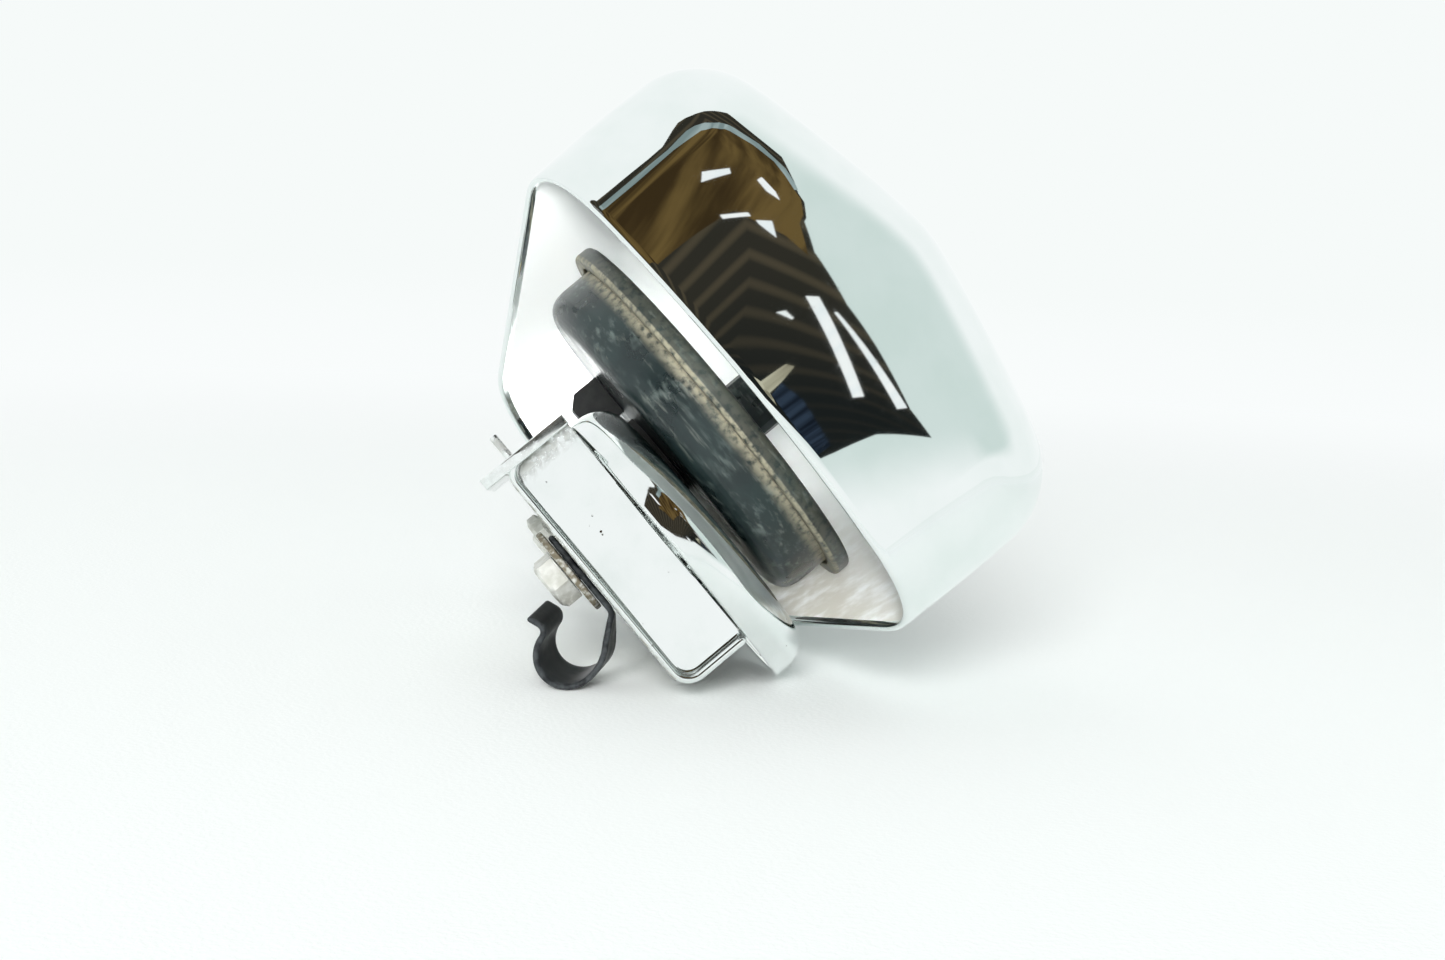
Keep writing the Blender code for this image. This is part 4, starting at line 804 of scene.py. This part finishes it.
def white_room():
    """A white room for the camera and for light. What mirrors see of it is greyer round its open front."""
    made = bpy.data.worlds.new("white_room")
    made.use_nodes = True
    tree = made.node_tree
    sky = tree.nodes["Background"]
    ray = add(tree, "ShaderNodeLightPath").outputs
    towards = add(tree, "ShaderNodeTexCoord").outputs["Generated"]
    shade = faded(tree, dot(tree, towards, SHADED_SIDE), 0.70, 0.93)
    height = add(tree, "ShaderNodeSeparateXYZ", {0: towards}).outputs["Z"]
    raised = faded(tree, height, 0.13, 0.26)
    mirrored = blended(tree, times(tree, shade, raised), "#FDFFFF", "#D9E5E2")
    plain_white = blended(tree, ray["Is Camera Ray"], "#B9BCBB", ROOM_WHITE)
    tree.links.new(blended(tree, ray["Is Glossy Ray"], plain_white, mirrored), sky.inputs["Color"])
    return made


# Beams of the room beyond, metres: what they cross, where they bend, how steeply to each side, the first
# one's place, their spacing, their light and dark, and how they fade with distance
BEAM_ACROSS = (1.0, 0.55, 0.0)
BEAM_AHEAD = (0.0, -1.0, 0.0)
BEAM_BEND = 0.185
BEAM_SLOPES = (0.6, -1.3)
BEAM_FIRST = 3.32
BEAM_SPACING = 0.38
BEAM_TONES = (0.3, 0.9)
BEAM_FADE = {"From Min": 3.2, "From Max": 5.4, "To Min": 1.0, "To Max": 0.12}


def card(name, corners, height, first, second, beams=False):
    """A flat card on the stage that only mirrors see, this high up. Its corners are the directions in which
    the chrome looks, as x over z and y over z. Two colours change along it in soft streaks, or in bent beams
    that fade as they get farther away."""
    flat = np.asarray(corners, float) * height
    mesh = bpy.data.meshes.new(name)
    mesh.from_pydata([(x, y, height) for x, y in flat], [], [range(len(flat))])
    made = bpy.data.materials.new(name)
    made.use_nodes = True
    tree = made.node_tree
    tree.nodes.remove(tree.nodes["Principled BSDF"])
    place = add(tree, "ShaderNodeTexCoord").outputs["Object"]
    pattern = speckle(tree, place, 260.0, 0.38, 0.64, 5.0, (1.0, 0.15, 1.0))
    if beams:
        off = times(tree, dot(tree, place, BEAM_ACROSS), BEAM_BEND, "ADD")
        bend = times(tree, times(tree, off, BEAM_SLOPES[0]), times(tree, off, BEAM_SLOPES[1]), "MAXIMUM")
        along = times(tree, dot(tree, place, BEAM_AHEAD), bend, "SUBTRACT")
        turns = times(tree, times(tree, along, BEAM_FIRST, "SUBTRACT"), math.tau / BEAM_SPACING)
        wave = ranged(tree, times(tree, turns, 0.0, "COSINE"), *BEAM_TONES)
        fade = add(tree, "ShaderNodeMapRange", {"Value": along, **BEAM_FADE})
        pattern = times(tree, wave, fade.outputs[0])
    glow = add(tree, "ShaderNodeEmission", {"Color": blended(tree, pattern, first, second)})
    tree.links.new(glow.outputs[0], tree.nodes["Material Output"].inputs["Surface"])
    mesh.materials.append(made)
    placed = bpy.data.objects.new(name, mesh)
    bpy.context.scene.collection.objects.link(placed)
    placed.visible_camera = False
    placed.visible_diffuse = False
    placed.visible_shadow = False


def lamp(name, place, aim, size, energy, spread=180.0):
    """A square lamp that mirrors and the camera don't see, turned towards a point; spread in degrees."""
    data = bpy.data.lights.new(name, "AREA")
    data.shape = "SQUARE"
    data.size = size
    data.energy = energy
    data.spread = math.radians(spread)
    made = bpy.data.objects.new(name, data)
    made.location = place
    away = Vector(place) - Vector(aim)
    made.rotation_euler = away.to_track_quat("Z", "Y").to_euler()
    made.visible_glossy = False
    made.visible_camera = False
    bpy.context.scene.collection.objects.link(made)
    return made


# Stage: table, room, what the chrome mirrors, light and camera
ROOM_WHITE = "#F6FAF9"
NEAR_WHITE = "#F9FCFC"
SHADED_SIDE = (0.78, -0.38, 0.50)
corners = [(-6.0, -6.0, 0.0), (6.0, -6.0, 0.0), (6.0, 6.0, 0.0), (-6.0, 6.0, 0.0)]
table_mesh = bpy.data.meshes.new("table")
table_mesh.from_pydata(corners, [], [(0, 1, 2, 3)])
table_mesh.materials.append(table_top())
table = bpy.data.objects.new("table", table_mesh)
bpy.context.scene.collection.objects.link(table)
bpy.context.scene.world = white_room()
# Open front of the white room: a dark room beyond with its beams, a wooden ceiling with a pale beam along its
# edge, two cloths, and lamps and windows as bright strips
OPENING = [
    (-0.50, -0.86), (-0.30, -0.67), (-0.11, -0.57), (-0.05, -0.51), (-0.03, -0.47), (-0.06, -0.36),
    (-0.07, -0.31), (0.0, -0.29), (0.18, -0.14), (0.32, -0.04), (0.47, -0.13), (0.54, -0.17), (0.57, -0.68),
    (0.63, -0.94), (0.74, -1.08), (1.03, -1.34), (1.37, -1.59), (2.22, -2.23), (2.95, -2.70), (2.30, -2.64),
    (2.20, -2.83), (0.90, -3.30), (0.70, -4.60), (-0.50, -4.60), (-1.20, -3.00), (-1.10, -1.60),
]
CEILING = [
    (-0.17, -0.89), (0.01, -0.67), (0.06, -0.56), (0.12, -0.50), (0.31, -0.46), (0.44, -0.36), (0.50, -0.39),
    (0.555, -0.67), (0.62, -0.95), (0.73, -1.10), (0.61, -1.015), (0.42, -0.93), (0.36, -1.02), (0.32, -1.08),
    (0.19, -1.32), (-0.12, -1.95), (-0.50, -1.50),
]
BEAM = [
    (-0.21, -0.82), (-0.06, -0.64), (-0.02, -0.59), (0.02, -0.53), (0.03, -0.44), (0.14, -0.40),
    (0.26, -0.33), (0.38, -0.30), (0.47, -0.25), (0.54, -0.36), (0.57, -0.62), (0.555, -0.67), (0.50, -0.39),
    (0.44, -0.36), (0.31, -0.46), (0.12, -0.50), (0.06, -0.56), (0.01, -0.67), (-0.17, -0.89),
]
CLOTH = [(1.13, -1.81), (1.36, -2.01), (2.05, -2.68), (2.10, -2.85), (1.75, -2.90), (1.41, -2.40)]
PALE = [(0.95, -2.06), (1.05, -1.69), (1.10, -1.72), (1.13, -1.81), (1.28, -2.48), (1.12, -2.40)]
LIGHTS = [
    [(0.29, -0.79), (0.35, -0.76), (0.36, -0.78), (0.30, -0.83)],
    [(0.43, -0.79), (0.44, -0.76), (0.52, -0.86), (0.47, -0.83)],
    [(0.39, -0.95), (0.46, -0.93), (0.475, -0.945), (0.405, -0.965)],
    [(0.495, -0.96), (0.54, -0.955), (0.59, -1.03), (0.51, -0.975)],
    [(0.80, -1.39), (0.83, -1.385), (0.89, -1.43), (0.885, -1.435)],
    [(0.85, -1.31), (0.90, -1.31), (1.71, -2.075), (1.645, -2.08)],
    [(1.01, -1.39), (1.02, -1.385), (2.17, -2.21), (2.10, -2.235)],
    [(0.35, -3.5), (0.60, -3.5), (0.75, -4.5), (0.50, -4.5)],
    [(-0.52, -0.95), (-0.42, -0.95), (-0.34, -1.3), (-0.44, -1.3)],
]
card("dark_room", OPENING, 3.0, "#171C1D", "#50483A", beams=True)
card("wooden_ceiling", CEILING, 2.9, "#3A2D1A", "#6B5733")
card("pale_beam", BEAM, 2.9, "#7F8F90", "#A5B4B4")
card("dark_cloth", CLOTH, 2.9, "#131A24", "#303C4C")
card("pale_cloth", PALE, 2.9, "#8A8470", "#C4BFA8")
for number, corners in enumerate(LIGHTS):
    card(f"room_light_{number}", corners, 2.8, "#FFFFFF", "#F4F8FA")
lamp("soft_top", (-0.6, 0.5, 1.5), (0.0, 0.0, 0.0), 1.4, 3.0)
lamp("soft_front", (-0.5, -4.4, 1.8), (0.0, 0.0, 0.0), 2.0, 280.0)
# Light that the cover gathers from the room: this lamp lights the cover alone
fill = lamp("cover_fill", (-0.03, -0.70, 0.16), (-0.04, 0.0, 0.085), 0.12, 0.5, 21.0)
lit = bpy.data.collections.new("lit_by_cover_fill")
lit.objects.link(cover)
fill.light_linking.receiver_collection = lit

# Camera, fitted to the photograph: its focal length and picture width are in pixels
FOCAL_LENGTH = 2250
PICTURE_WIDTH = 1445
SENSOR_WIDTH = 36.0
CAMERA_PLACE = (-0.006894, -0.499141, 0.1016)
CAMERA_TURN = (82.818, -2.309, -0.004)
camera_data = bpy.data.cameras.new("camera")
camera_data.sensor_width = SENSOR_WIDTH
camera_data.lens = FOCAL_LENGTH / PICTURE_WIDTH * SENSOR_WIDTH
camera_data.clip_start = 0.01
camera = bpy.data.objects.new("camera", camera_data)
camera.location = CAMERA_PLACE
camera.rotation_euler = [math.radians(a) for a in CAMERA_TURN]
bpy.context.scene.collection.objects.link(camera)
bpy.context.scene.camera = camera
bpy.context.scene.view_settings.view_transform = "Standard"
